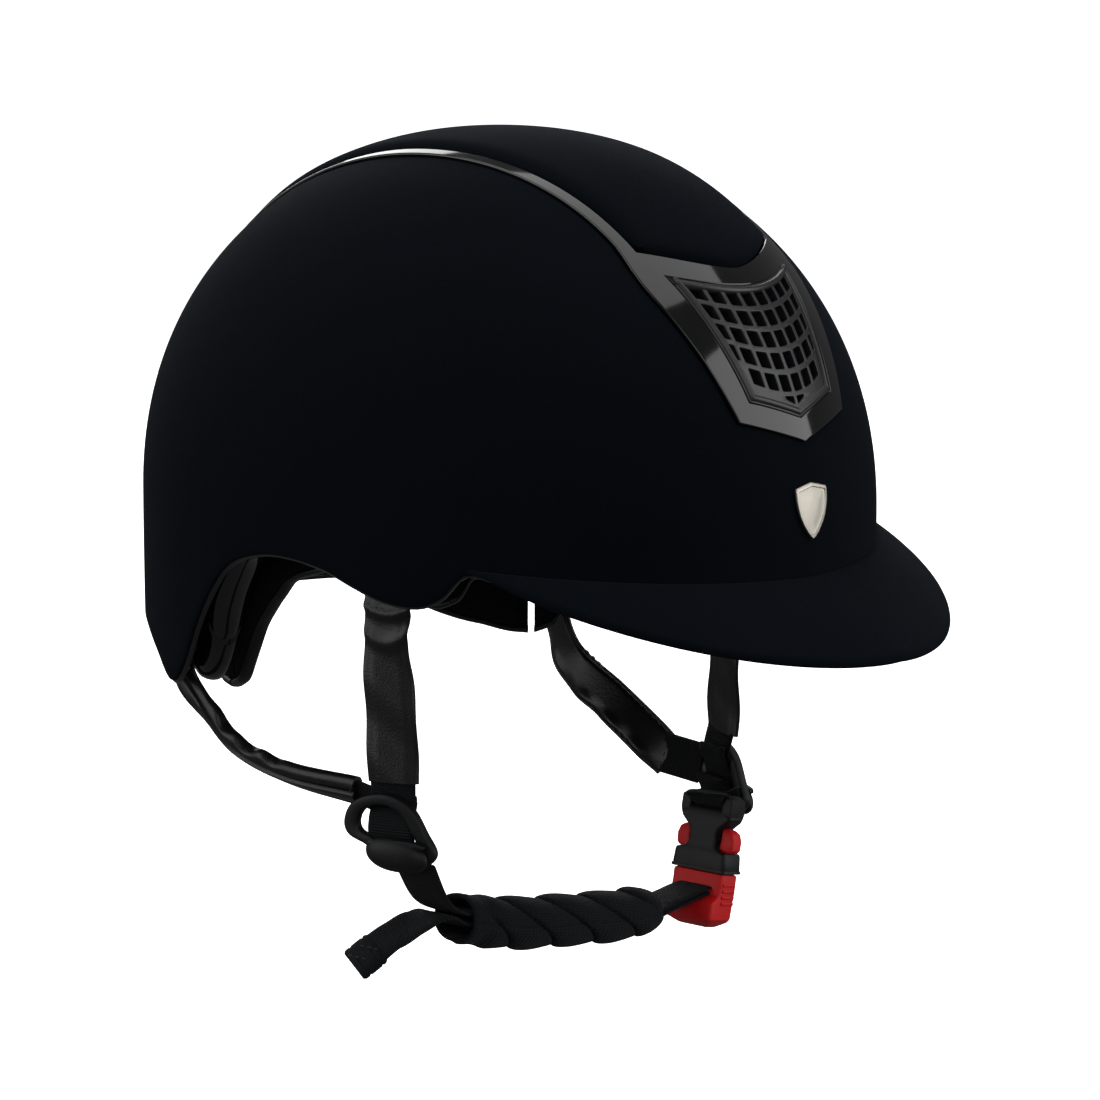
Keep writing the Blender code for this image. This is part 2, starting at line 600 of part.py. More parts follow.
def makeRing(side):
    """Strap divider ring with its hinged cam and pin."""
    _, normal, across = cheek(side)
    centre = ringCentre(side)
    rise = Vector((0, 0, 1))
    loops = []
    for w, u in RING_OUTLINE:
        outer = centre + (across * w + rise * u) / 1000
        inner = centre + (across * (w * RING_OPENING - 1.0) + rise * (u * RING_OPENING + 0.8)) / 1000
        half = normal * RING_THICKNESS / 2
        loops.append([outer - half, outer + half, inner + half, inner - half])
    addPiece(f"divider_{side}", hoop(loops), (0.02, 0.02, 0.022), 0.45)

    hinge = centre + across * 0.0035 + rise * -0.0030 + normal * (RING_THICKNESS / 2 + 0.0018)
    loops = []
    for w in (-1.05, 1.05):
        loops.append([hinge + across * CAM_HALF_WIDTH * w
                      + (rise * math.sin(t) + normal * math.cos(t)) * CAM_PIN_RADIUS
                      for t in spread(0, 2 * math.pi, 9)[:-1]])
    addPiece(f"cam_pin_{side}", bar(loops), (0.35, 0.35, 0.36), 0.35, 1.0)

    loops = []
    back = hinge - normal * 0.0014
    for share, lift in ((1.0, 0.0), (1.0, 0.5), (0.78, 0.9), (0.45, 1.0)):
        ring = []
        for t in spread(0, 2 * math.pi, 17)[:-1]:
            w = CAM_HALF_WIDTH * share * math.cos(t)
            u = -0.0015 - CAM_HEIGHT / 2 + CAM_HEIGHT / 2 * share * math.sin(t)
            ring.append(back + across * w + rise * u + normal * (CAM_THICKNESS * lift))
        loops.append(ring)
    cam = addPiece(f"divider_cam_{side}", bar(loops), (0.025, 0.025, 0.028), 0.4)
    hang([cam], f"cam_axis_{side}", hinge)


def buckleAxes():
    """Down the buckle, across it, and out of its face away from the head."""
    down = Vector((-math.sin(BUCKLE_LEAN), 0, -math.cos(BUCKLE_LEAN)))
    across = Vector((0, -1, 0))
    return down, across, Vector((math.cos(BUCKLE_LEAN), 0, -math.sin(BUCKLE_LEAN)))


def makeBuckle():
    down, across, face = buckleAxes()
    mouth = place(*BUCKLE_MOUTH)
    axes = (across, face, down)
    body = addPiece("buckle_female", block(mouth - down * BUCKLE_LENGTH / 2, axes,
                                           (BUCKLE_WIDTH, BUCKLE_DEPTH, BUCKLE_LENGTH)),
                    (0.02, 0.02, 0.022), 0.4)
    cuts = [("buckle_socket", 0.0, -SOCKET_LENGTH / 2 + 0.001,
             (SOCKET_WIDTH, SOCKET_DEPTH, SOCKET_LENGTH + 0.002)),
            ("buckle_bar_slot", 0.0, -BUCKLE_LENGTH + 0.0055, (0.0170, 0.02, 0.0032)),
            ("buckle_window_front", 0.0105, -0.0105, (0.0060, SOCKET_DEPTH, 0.0100)),
            ("buckle_window_rear", -0.0105, -0.0105, (0.0060, SOCKET_DEPTH, 0.0100))]
    cutWith(body, [addPiece(title, block(mouth + across * w + down * d, axes, size), RED, 1.0)
                   for title, w, d, size in cuts])
    for notch, w in (("front", 1), ("rear", -1)):
        waist = addPiece(f"buckle_waist_{notch}",
                         block(mouth + across * w * 0.0130 + down * -0.0215, axes, (0.006, 0.02, 0.006)),
                         RED, 1.0)
        cutWith(body, [waist])

    male = addPiece("buckle_male", block(mouth + down * 0.0094, axes, (0.0225, 0.0086, 0.0180), 0.9),
                    RED, 0.4)
    tongue = addPiece("buckle_tongue", block(mouth + down * -0.0055, axes, (0.0070, 0.0034, 0.0130)),
                      RED, 0.4)
    tongue.hide_render = True
    tongue.display_type = "WIRE"
    union = male.modifiers.new("tongue", "BOOLEAN")
    union.operation = "UNION"
    union.object = tongue
    for title, w in (("front", 1), ("rear", -1)):
        loops = []
        for d, offset, half in ((0.0001, ARM_ROOT, 0.0013), (-0.0060, 0.0074, 0.0012),
                                (-0.0063, 0.0088, 0.0024), (-0.0135, 0.0086, 0.0022),
                                (-0.0150, 0.0066, 0.0008)):
            spot = mouth + down * d + across * w * offset
            loops.append([spot + across * half * a + face * 0.0016 * b
                          for a, b in ((1, 1), (-1, 1), (-1, -1), (1, -1))])
        arm = addPiece(f"release_arm_{title}", bar(loops), RED, 0.4)
        hang([arm], f"release_arm_axis_{title}", mouth + across * w * ARM_ROOT)
    return male


def makeChinStraps(male):
    """Webbing from the right ring through the chin pad to the buckle, and its free tail."""
    down, _, face = buckleAxes()
    mouth = place(*BUCKLE_MOUTH)
    fore = Vector((0, -1, 0))
    buckleTop = mouth - down * (BUCKLE_LENGTH + 0.0010)
    behind = ringCentre("left") - cheek("left")[1] * 0.0070 + Vector((0, 0, 0.0060))
    behind.y = buckleTop.y
    ribbon("buckle_webbing", [behind, buckleTop], [fore, fore],
           WEBBING_WIDTH, WEBBING_THICKNESS, 2, BLACK, 0.8)

    moving = [male]
    joint = mouth + down * 0.0100 - face * 0.0052
    padLeft, padRight = place(0.0445, 0.0240, -0.1435), place(-0.0490, 0.0240, -0.1305)
    left = [joint, joint - face * 0.0040, padLeft + Vector((0.0060, -0.0008, 0.0004)),
            padLeft + Vector((0.0020, 0, 0))]
    moving.append(ribbon("chin_webbing_left", left, [fore] * 4, WEBBING_WIDTH, WEBBING_THICKNESS, 9,
                         BLACK, 0.8))

    middle = place(0.0, 0.0240, -0.1395)
    line = route([padLeft, padLeft.lerp(middle, 0.5) + Vector((0, 0, -0.0006)), middle,
                  middle.lerp(padRight, 0.5) + Vector((0, 0, -0.0012)), padRight], 11)
    loops = []
    for k, spot in enumerate(line):
        ahead = (line[min(k + 1, 10)] - line[max(k - 1, 0)]).normalized()
        up = fore.cross(ahead).normalized()
        swell = 0.88 if k in (0, 10) else 1.0
        loops.append([spot + (fore * 0.0085 * math.cos(t) + up * 0.0070 * math.sin(t)) * swell
                      for t in spread(0, 2 * math.pi, 13)[:-1]])
    moving.append(addPiece("chin_pad", bar(loops), (0.02, 0.02, 0.024), 0.95))

    width = cheek("right")[2]
    leave = ringCentre("right") + width * 0.0045 + Vector((0, 0, -0.0123))
    right = [leave, leave.lerp(padRight, 0.5) + Vector((-0.002, 0, -0.002)),
             padRight + Vector((-0.0022, 0, 0.0030))]
    moving.append(ribbon("chin_webbing_right", right, [width, width.lerp(fore, 0.5), fore],
                         WEBBING_WIDTH, WEBBING_THICKNESS, 7, BLACK, 0.8))
    tail = [padRight + Vector((-0.0028, 0, -0.0008)), place(-0.0600, 0.0250, -0.1278),
            place(-0.0664, 0.0222, -0.1296), place(-0.0712, 0.0172, -0.1336),
            place(-0.0748, 0.0137, -0.1376)]
    moving.append(ribbon("webbing_tail", tail, [fore] * 5, WEBBING_WIDTH, WEBBING_THICKNESS, 9,
                         BLACK, 0.8))
    fold = [tail[-1] + Vector((-0.0004, 0.0002, -0.0004)), place(-0.0812, 0.0091, -0.1436)]
    moving.append(ribbon("tail_fold", fold, [fore, fore], WEBBING_WIDTH, 0.0042, 3, BLACK, 0.8))
    hang(moving, "chin_strap_axis", leave)


def main():
    for item in list(bpy.data.objects):
        bpy.data.objects.remove(item, do_unlink=True)
    makeShell()
    makeFrame()
    makePanel()
    makeGrille("front_grille", GRILLE, GRILLE_ROWS)
    makeGrille("rear_grille", REAR_GRILLE, REAR_GRILLE_ROWS)
    makeBadge()
    makePeak()
    makeLiner()
    makeCrownPad()
    makePad("brow_pad", -57, 57, 0.018, 17)
    makePad("side_pad_left", 58, 127, 0.016, 17)
    makePad("side_pad_right", -58, -127, 0.016, 17)
    makePad("nape_pad", 128.5, 231.5, 0.010, 15)
    for side in ("left", "right"):
        makeStraps(side)
        makeRivets(side)
        makeRing(side)
    makeChinStraps(makeBuckle())


main()
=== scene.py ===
# Riding helmet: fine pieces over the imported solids, their finishes, the light and the camera.
import json
import math

import bmesh
import bpy
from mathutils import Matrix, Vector

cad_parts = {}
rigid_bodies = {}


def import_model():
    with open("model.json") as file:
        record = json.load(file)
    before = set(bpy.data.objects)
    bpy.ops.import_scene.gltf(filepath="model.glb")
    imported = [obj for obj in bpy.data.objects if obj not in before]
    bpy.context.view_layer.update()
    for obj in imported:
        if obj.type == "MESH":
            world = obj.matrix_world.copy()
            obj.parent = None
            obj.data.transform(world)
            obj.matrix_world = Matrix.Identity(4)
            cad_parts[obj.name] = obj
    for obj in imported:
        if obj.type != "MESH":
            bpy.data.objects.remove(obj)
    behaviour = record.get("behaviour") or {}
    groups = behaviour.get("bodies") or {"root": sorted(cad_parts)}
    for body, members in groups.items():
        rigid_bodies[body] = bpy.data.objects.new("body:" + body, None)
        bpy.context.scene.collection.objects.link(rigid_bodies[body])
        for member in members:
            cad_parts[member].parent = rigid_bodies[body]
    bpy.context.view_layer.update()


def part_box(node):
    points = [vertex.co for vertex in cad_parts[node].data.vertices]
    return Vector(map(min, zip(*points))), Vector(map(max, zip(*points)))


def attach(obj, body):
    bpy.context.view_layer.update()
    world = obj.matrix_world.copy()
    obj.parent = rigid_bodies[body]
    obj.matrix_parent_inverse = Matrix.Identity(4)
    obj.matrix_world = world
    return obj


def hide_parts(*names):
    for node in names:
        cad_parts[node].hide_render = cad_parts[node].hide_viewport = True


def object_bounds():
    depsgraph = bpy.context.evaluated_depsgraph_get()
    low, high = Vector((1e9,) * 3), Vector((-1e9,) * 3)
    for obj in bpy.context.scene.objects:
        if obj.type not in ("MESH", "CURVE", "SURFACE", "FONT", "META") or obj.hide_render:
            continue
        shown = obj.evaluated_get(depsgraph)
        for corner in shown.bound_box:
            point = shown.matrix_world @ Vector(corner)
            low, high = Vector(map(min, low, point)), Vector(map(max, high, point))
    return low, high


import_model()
for item in [o for o in bpy.data.objects if o.name in ("Cube", "Light", "Camera")]:
    bpy.data.objects.remove(item)

# The dome under everything, in metres, measured from its widest line
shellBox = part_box("outer_shell")
dome = {
    "halfWidth": 0.108,
    "frontLength": -shellBox[0].y,
    "rearLength": 0.133,
    "crownHeight": 0.120,
    "square": 2.12,  # 2 is an ellipsoid, more is boxier
    "tuckHeight": 0.640,  # how slowly the rear draws in below the widest line
    "seatHeight": 0.0885,  # row origin above the widest line
}

# Lower edge of the shell: angle from straight ahead in degrees, height in millimetres
rimKnots = [(0, -17.0), (28, -15.5), (44, -12.0), (53, -8.0), (57, -15.5), (61, -18.8), (67, -17.9),
            (73, -13.8), (79, -9.5), (88, -7.1), (95, -8.2), (102, -12.9), (107, -21.5), (112, -33.6),
            (117, -48.5), (121, -56.0), (124, -56.4), (130, -49.5), (139, -43.0), (160, -39.0), (180, -38.0)]


def place(out, ahead, above):
    return Vector((out, -ahead, above - dome["seatHeight"]))


def spread(start, end, count):
    return [start + (end - start) * k / (count - 1) for k in range(count)]


def around(count):  # angles once round a circle
    return spread(0, 2 * math.pi, count + 1)[:-1]


def squared(value, power):  # a sine or cosine that makes a rounder or a squarer outline
    return math.copysign(abs(value) ** power, value)


def aside(angle):  # degrees from straight ahead, the same on both sides
    return abs(math.degrees(math.remainder(angle, 2 * math.pi)))


def ease(value):
    value = min(1.0, max(0.0, value))
    return value * value * (3 - 2 * value)


def smooth(knots, at):  # value on the smooth curve through (position, value) knots
    ordered = sorted(knots)
    at = min(max(at, ordered[0][0]), ordered[-1][0])
    index = max(k for k in range(len(ordered) - 1) if ordered[k][0] <= at)
    (x0, y0), (x1, y1) = ordered[index], ordered[index + 1]
    before = ordered[index - 1] if index > 0 else (2 * x0 - x1, 2 * y0 - y1)
    after = ordered[index + 2] if index + 2 < len(ordered) else (2 * x1 - x0, 2 * y1 - y0)
    slope0 = (y1 - before[1]) / (x1 - before[0])
    slope1 = (after[1] - y0) / (after[0] - x0)
    step = x1 - x0
    t = (at - x0) / step
    return ((2 * t**3 - 3 * t**2 + 1) * y0 + (t**3 - 2 * t**2 + t) * step * slope0
            + (3 * t**2 - 2 * t**3) * y1 + (t**3 - t**2) * step * slope1)


def route(points, count, values=None):  # even points on the smooth curve through a few
    lengths = [0.0]
    for a, b in zip(points, points[1:]):
        lengths.append(lengths[-1] + (b - a).length)
    axes = [[(s, p[k]) for s, p in zip(lengths, values or points)] for k in range(3)]
    return [Vector([smooth(axis, s) for axis in axes]) for s in spread(0, lengths[-1], count)]


def sidePoint(angle, above, depth=0.0):  # on the dome, at an angle from straight ahead and a height
    ahead = math.cos(angle)
    length = (dome["frontLength"] if ahead > 0 else dome["rearLength"]) - depth
    reach = 1 / math.hypot(math.sin(angle) / (dome["halfWidth"] - depth), ahead / length)
    if above > 0:
        rise = min(1.0, above / (dome["crownHeight"] - depth))
        reach *= (1 - rise ** dome["square"]) ** (1 / dome["square"])
    elif ahead < 0:
        reach *= math.sqrt(1 - (above / dome["tuckHeight"]) ** 2)
    return place(reach * math.sin(angle), reach * ahead, above)


def crownPoint(over, across, depth=0.0):  # on the dome, at an angle over the top and so far across
    ahead, above = math.sin(math.radians(over)), math.cos(math.radians(over))
    low, high = 0.0, 0.3
    length = (dome["frontLength"] if ahead > 0 else dome["rearLength"]) - depth
    for _ in range(28):
        reach = (low + high) / 2
        flat = math.hypot(across / (dome["halfWidth"] - depth), ahead * reach / length)
        if above > 0:
            level = flat ** dome["square"] + (above * reach / (dome["crownHeight"] - depth)) ** dome["square"]
        elif ahead < 0:
            level = math.hypot(flat, above * reach / dome["tuckHeight"])
        else:
            level = flat
        low, high = (reach, high) if level < 1 else (low, reach)
    return place(across, ahead * low, above * low)


def rimHeight(angle, inside=0.0):  # the shell's edge, or the line that runs so far inside it
    degrees = aside(angle)
    arc = math.radians(2) * 118.0
    slope = (smooth(rimKnots, degrees + 1) - smooth(rimKnots, degrees - 1)) / arc
    return smooth(rimKnots, degrees) / 1000 + inside * math.hypot(1, slope)


# Shader maths: a socket that takes part in sums
class Level:
    def __init__(self, tree, socket):
        self.tree, self.socket = tree, socket

    def combine(self, operation, *values):
        node = self.tree.nodes.new("ShaderNodeMath")
        node.operation = operation
        for entry, value in zip(node.inputs, values):
            if isinstance(value, Level):
                self.tree.links.new(value.socket, entry)
            else:
                entry.default_value = value
        return Level(self.tree, node.outputs[0])

    def __add__(self, other):
        return self.combine("ADD", self, other)

    def __radd__(self, other):
        return self.combine("ADD", other, self)

    def __sub__(self, other):
        return self.combine("SUBTRACT", self, other)

    def __rsub__(self, other):
        return self.combine("SUBTRACT", other, self)

    def __mul__(self, other):
        return self.combine("MULTIPLY", self, other)

    def __rmul__(self, other):
        return self.combine("MULTIPLY", other, self)


class Finish:
    def __init__(self, name, sockets):
        self.material = bpy.data.materials.new(name)
        self.material.use_nodes = True
        self.tree = self.material.node_tree
        self.shader = self.tree.nodes["Principled BSDF"]
        for title, value in sockets.items():
            self.shader.inputs[title].default_value = value

    def node(self, kind, settings=None, sockets=None, output=0):
        made = self.tree.nodes.new(kind)
        for title, value in (settings or {}).items():
            setattr(made, title, value)
        for title, value in (sockets or {}).items():
            if isinstance(value, Level):
                self.tree.links.new(value.socket, made.inputs[title])
            else:
                made.inputs[title].default_value = value
        return Level(self.tree, made.outputs[output])

    def feed(self, title, value):
        self.tree.links.new(value.socket, self.shader.inputs[title])

    def place(self, scale):  # the piece's own coordinates, stretched
        where = self.node("ShaderNodeTexCoord", output="Object")
        return self.node("ShaderNodeMapping", {}, {"Vector": where, "Scale": scale})

    def noise(self, scale, detail=2.0, stretch=(1, 1, 1)):
        return self.node("ShaderNodeTexNoise", {}, {"Vector": self.place(stretch), "Scale": scale,
                                                    "Detail": detail})

    def cells(self, scale):
        return self.node("ShaderNodeTexVoronoi", {"feature": "SMOOTH_F1"},
                         {"Vector": self.place((1, 1, 1)), "Scale": scale, "Smoothness": 0.4})

    def weave(self):  # millimetres along and across the cloth
        flow = self.node("ShaderNodeAttribute", {"attribute_name": "weave"}, output="Vector")
        return [self.node("ShaderNodeSeparateXYZ", {}, {"Vector": flow}, output=k) for k in ("X", "Y")]

    def wave(self, phase, pitch):  # 0 to 1 and back, once a pitch
        swing = self.node("ShaderNodeMath", {"operation": "SINE"}, {0: phase * (2 * math.pi / pitch)})
        return swing * 0.5 + 0.5

    def tint(self, mask, low, high):
        mixed = self.node("ShaderNodeMix", {"data_type": "RGBA"}, {0: mask, 6: (*low, 1), 7: (*high, 1)}, 2)
        self.feed("Base Color", mixed)

    def bump(self, height, depth, strength=1.0):
        self.feed("Normal", self.node("ShaderNodeBump", {}, {"Height": height, "Distance": depth,
                                                             "Strength": strength}))


def suedeFinish():
    look = {"dark": (0.0016, 0.0024, 0.0038), "light": (0.0030, 0.0044, 0.0066),
            "fibre": 4200.0, "nap": 700.0, "brushed": 26.0}
    cloth = Finish("suedeMicrofibre", {"Roughness": 0.95, "Specular IOR Level": 0.03, "Sheen Weight": 0.012,
                                       "Sheen Roughness": 0.55, "Sheen Tint": (0.62, 0.74, 1.0, 1)})
    fibre = cloth.noise(look["fibre"], 3.0)
    nap = cloth.noise(look["nap"], 4.0)
    brushed = cloth.noise(look["brushed"], 3.0)
    cloth.tint(brushed * 0.55 + fibre * 0.45, look["dark"], look["light"])
    cloth.feed("Roughness", 0.88 + nap * 0.12)
    cloth.bump(fibre * 0.6 + nap * 0.4, 0.00025, 0.7)
    return cloth.material


def glossFinish():
    look = {"dark": (0.0025, 0.0026, 0.0030), "light": (0.0050, 0.0052, 0.0058)}
    lacquer = Finish("glossLacquer", {"IOR": 1.42, "Coat Weight": 0.25, "Coat Roughness": 0.03})
    ripple = lacquer.noise(85.0, 1.0)
    dust = lacquer.noise(2600.0, 3.0)
    lacquer.tint(ripple, look["dark"], look["light"])
    lacquer.feed("Roughness", 0.05 + dust * 0.06)
    lacquer.bump(ripple, 0.00012, 0.5)
    return lacquer.material


def satinFinish(name, dark, light, rough, shine=0.5, grain=3600.0):
    plastic = Finish(name, {"IOR": 1.49, "Specular IOR Level": shine})
    spark = plastic.noise(grain, 3.0)
    cloud = plastic.noise(60.0, 3.0)
    plastic.tint(spark * 0.5 + cloud * 0.5, dark, light)
    plastic.feed("Roughness", rough + cloud * 0.08 + spark * 0.06)
    plastic.bump(spark, 0.00006, 0.8)
    return plastic.material


def metalFinish(name, dark, light, rough, stretch):
    metal = Finish(name, {"Metallic": 1.0})
    lines = metal.noise(900.0, 4.0, stretch)
    metal.tint(lines, dark, light)
    metal.feed("Roughness", rough + lines * 0.14)
    metal.bump(lines, 0.00004, 0.5)
    return metal.material


def foamFinish():
    foam = Finish("beadFoam", {"Specular IOR Level": 0.3})
    beads = foam.cells(330.0)
    grain = foam.noise(2400.0, 2.0)
    # painted shade: bead centres lighter, the borders between beads darker where the bump sinks
    foam.tint(beads * 1.4, (0.020, 0.021, 0.023), (0.008, 0.008, 0.009))
    foam.feed("Roughness", 0.72 + grain * 0.2)
    foam.bump(grain * 0.15 - beads, 0.0006, 0.8)
    return foam.material


def knitFinish():
    look = {"wale": 1.25, "course": 0.95,
            "dark": (0.0016, 0.0018, 0.0023), "light": (0.0062, 0.0068, 0.0082)}
    knit = Finish("knittedLining", {"Specular IOR Level": 0.1, "Sheen Weight": 0.02,
                                    "Sheen Roughness": 0.4, "Sheen Tint": (0.8, 0.85, 1.0, 1)})
    along, across = knit.weave()
    wale = knit.wave(along, look["wale"])
    course = knit.wave(across + wale * 0.35, look["course"])
    fuzz = knit.noise(3800.0, 3.0)
    loops = wale * 0.55 + course * 0.45
    # painted shade: the knit goes darker in the hollows between loops where the bump is low; the fuzz is
    # random tone
    knit.tint(loops * 0.75 + fuzz * 0.25, look["dark"], look["light"])
    knit.feed("Roughness", 0.80 + fuzz * 0.18)
    knit.bump(loops + fuzz * 0.4, 0.00035, 0.8)
    return knit.material


def webbingFinish():
    look = {"rib": 0.86, "yarn": 0.62, "dark": (0.0018, 0.0022, 0.0029), "light": (0.0078, 0.0090, 0.0112)}
    band = Finish("ribbedWebbing", {"Specular IOR Level": 0.15, "Sheen Weight": 0.03,
                                    "Sheen Roughness": 0.35})
    along, across = band.weave()
    rib = band.wave(along, look["rib"])
    yarn = band.wave(across + rib * 0.2, look["yarn"])
    fuzz = band.noise(4200.0, 2.0)
    cloth = rib * 0.72 + yarn * 0.28
    # painted highlight and shade: rib crests lighter, the grooves between ribs darker, following the bump;
    # the fuzz is random tone
    band.tint(cloth * 0.8 + fuzz * 0.2, look["dark"], look["light"])
    band.feed("Roughness", 0.68 + fuzz * 0.2)
    band.bump(cloth + fuzz * 0.25, 0.00032, 0.9)
    return band.material


def meshFinish():
    look = {"rib": 0.86, "wander": 1.9, "dark": (0.0016, 0.0020, 0.0026), "light": (0.0115, 0.0135, 0.0165)}
    cover = Finish("spacerMesh", {"Specular IOR Level": 0.12, "Sheen Weight": 0.03, "Sheen Roughness": 0.4})
    along, across = cover.weave()
    wander = cover.wave(along, look["wander"])
    rib = cover.wave(across + wander * 0.34, look["rib"])
    fuzz = cover.noise(3600.0, 2.0)
    cloth = rib * 0.7 + wander * 0.3
    # painted highlight and shade: mesh ribs lighter, the valleys between them darker, following the bump; the
    # fuzz is random tone
    cover.tint(cloth * 0.8 + fuzz * 0.2, look["dark"], look["light"])
    cover.feed("Roughness", 0.76 + fuzz * 0.2)
    cover.bump(cloth + fuzz * 0.2, 0.00026, 0.8)
    return cover.material


def leatherFinish():
    look = {"dark": (0.0030, 0.0030, 0.0034), "light": (0.0072, 0.0072, 0.0078), "grain": 1500.0}
    hide = Finish("softLeatherette", {"Specular IOR Level": 0.32, "Coat Weight": 0.05,
                                      "Coat Roughness": 0.25})
    grain = hide.cells(look["grain"])
    wrinkle = hide.noise(170.0, 3.0, (1, 1, 2.2))
    # partly painted shade: the grain's pits are darker where the bump sinks; the wrinkle tone is random
    hide.tint(grain + wrinkle * 0.4, look["light"], look["dark"])
    hide.feed("Roughness", 0.26 + wrinkle * 0.16 + grain * 0.08)
    hide.bump(wrinkle * 0.35 - grain * 0.30, 0.00028, 0.6)
    return hide.material


finishes = {
    "suede": suedeFinish(),
    "gloss_black": glossFinish(),
    "grille_grey": satinFinish("satinGrille", (0.0075, 0.0075, 0.0085), (0.0165, 0.0165, 0.0185), 0.26),
    "badge_metal": metalFinish("badgeNickel", (0.40, 0.375, 0.325), (0.56, 0.53, 0.47), 0.38, (1, 1, 14)),
    "liner_foam": foamFinish(),
    "lining": knitFinish(),
    "leatherette": leatherFinish(),
    "webbing": webbingFinish(),
    "harness_plastic": satinFinish("mouldedNylon", (0.0032, 0.0034, 0.0040), (0.0064, 0.0068, 0.0078),
                                   0.40, 0.24),
    "red_plastic": satinFinish("redNylon", (0.50, 0.006, 0.008), (0.60, 0.009, 0.011), 0.42, 0.22),
    "steel": metalFinish("blackenedSteel", (0.020, 0.020, 0.022), (0.036, 0.036, 0.039), 0.34, (9, 1, 1)),
    "pad_mesh": meshFinish(),
}
threadLook = satinFinish("sewingThread", (0.012, 0.012, 0.013), (0.034, 0.034, 0.036), 0.5, 0.3, 5200.0)
print("finishes ready:", len(finishes) + 1)


# A patch is rows of points; loop joins each row's ends, ring joins the last row to the first
def patch(rows, loop=False, ring=False, fill=False, flow=None):
    return {"rows": rows, "loop": loop, "ring": ring, "fill": fill, "flow": flow}


def makePiece(name, patches, slot, nodes=(), body="root", sharp=48.0, finish=None, outward=None):
    mesh = bpy.data.meshes.new(name)
    points, faces, flows = [], [], []
    for part in patches:
        rows, wide, start = part["rows"], len(part["rows"][0]), len(points)
        points += [p for row in rows for p in row]
        flows += [f for row in (part["flow"] or [[(0.0, 0.0)] * wide] * len(rows)) for f in row]
        for r in range(len(rows) if part["ring"] else len(rows) - 1):
            upper = (r + 1) % len(rows)
            for c in range(wide if part["loop"] else wide - 1):
                nextColumn = (c + 1) % wide
                faces.append([start + r * wide + c, start + r * wide + nextColumn,
                              start + upper * wide + nextColumn, start + upper * wide + c])
        for r in ((0, len(rows) - 1) if part["fill"] else ()):
            middle = len(points)
            points.append(sum(rows[r], Vector()) / wide)
            flows.append(flows[start + r * wide])
            edge = start + r * wide
            faces += [[edge + c, edge + (c + 1) % wide, middle] for c in range(wide)]
    mesh.from_pydata(points, [], faces)
    attribute = mesh.attributes.new("weave", "FLOAT_VECTOR", "POINT")
    attribute.data.foreach_set("vector", [value for f in flows for value in (f[0], f[1], 0.0)])
    bm = bmesh.new()
    bm.from_mesh(mesh)
    bmesh.ops.remove_doubles(bm, verts=bm.verts, dist=2e-6)
    bmesh.ops.recalc_face_normals(bm, faces=bm.faces)
    if outward is not None and sum((f.normal.dot(f.calc_center_median() - outward) for f in bm.faces)) < 0:
        bmesh.ops.reverse_faces(bm, faces=bm.faces)
    bm.to_mesh(mesh)
    bm.free()
    mesh.shade_smooth()
    mesh.set_sharp_from_angle(angle=math.radians(sharp))
    mesh.materials.append(finish or finishes[slot])
    piece = bpy.data.objects.new(name, mesh)
    bpy.context.scene.collection.objects.link(piece)
    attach(piece, body)
    if nodes:
        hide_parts(*nodes)
    return piece


def thicken(piece, thickness, edge):  # a skin gets its thickness and rounded edges
    solid = piece.modifiers.new("thickness", "SOLIDIFY")
    solid.thickness = thickness
    solid.offset = -1
    solid.use_even_offset = True
    soft = piece.modifiers.new("edges", "BEVEL")
    soft.width = edge
    soft.segments = 3
    soft.limit_method = "ANGLE"
    soft.angle_limit = math.radians(50)
    soft.harden_normals = True
    return piece


domeCentre = place(0, 0, 0)

# Outlines on the crown: angles over the top in degrees, half widths in millimetres
shapes = {
    "frame": {"front": (76.8, 73.0), "rear": (-99.0, -92.0), "bend": 1.0,
              "half": [(73, 25.0), (68, 28.0), (62.3, 31.0), (56.6, 33.9), (48.7, 36.7), (40, 35.4),
                       (0, 36.0), (-50, 34.5), (-72, 35.5), (-92, 25.0)]},
    "panel": {"front": (50.2, 43.8), "rear": (-73.0, -68.5), "bend": 1.6,
              "half": [(43.8, 30.6), (34, 30.8), (0, 31.5), (-50, 30.0), (-68.5, 29.5)]},
    "grille": {"front": (73.4, 70.3), "rear": (53.3, 49.3), "bend": 1.0, "rearBend": 1.95,
               "half": [(70.3, 19.2), (49.3, 27.6)]},
    "rearGrille": {"front": (-76.3, -74.6), "rear": (-95.2, -91.5), "bend": 1.0, "rearBend": 1.95,
                   "half": [(-74.6, 25.5), (-91.5, 18.5)]},
}


def halfWidth(shape, over):
    return smooth(shape["half"], over) / 1000


def edgeOver(shape, end, u):  # angle of the front or rear edge at u from -1 to 1 across it
    middle, corner = shape[end]
    return middle + (corner - middle) * abs(u) ** shape["bend"]


def insideFrame(angle, above):
    spot = sidePoint(angle, above)
    over = math.degrees(math.atan2(-spot.y, above))
    shape = shapes["frame"]
    half = halfWidth(shape, over)
    for end, beyond in (("front", 1), ("rear", -1)):
        u = min(1.0, abs(spot.x) / halfWidth(shape, shape[end][1]))
        if (over - edgeOver(shape, end, u)) * beyond > 0:
            return False
    return abs(spot.x) < half


def frameHeight(angle):  # height of the frame's outline at an angle from straight ahead
    low, high = -0.03, dome["crownHeight"] * 0.9999
    for _ in range(26):
        middle = (low + high) / 2
        low, high = (low, middle) if insideFrame(angle, middle) else (middle, high)
    return high


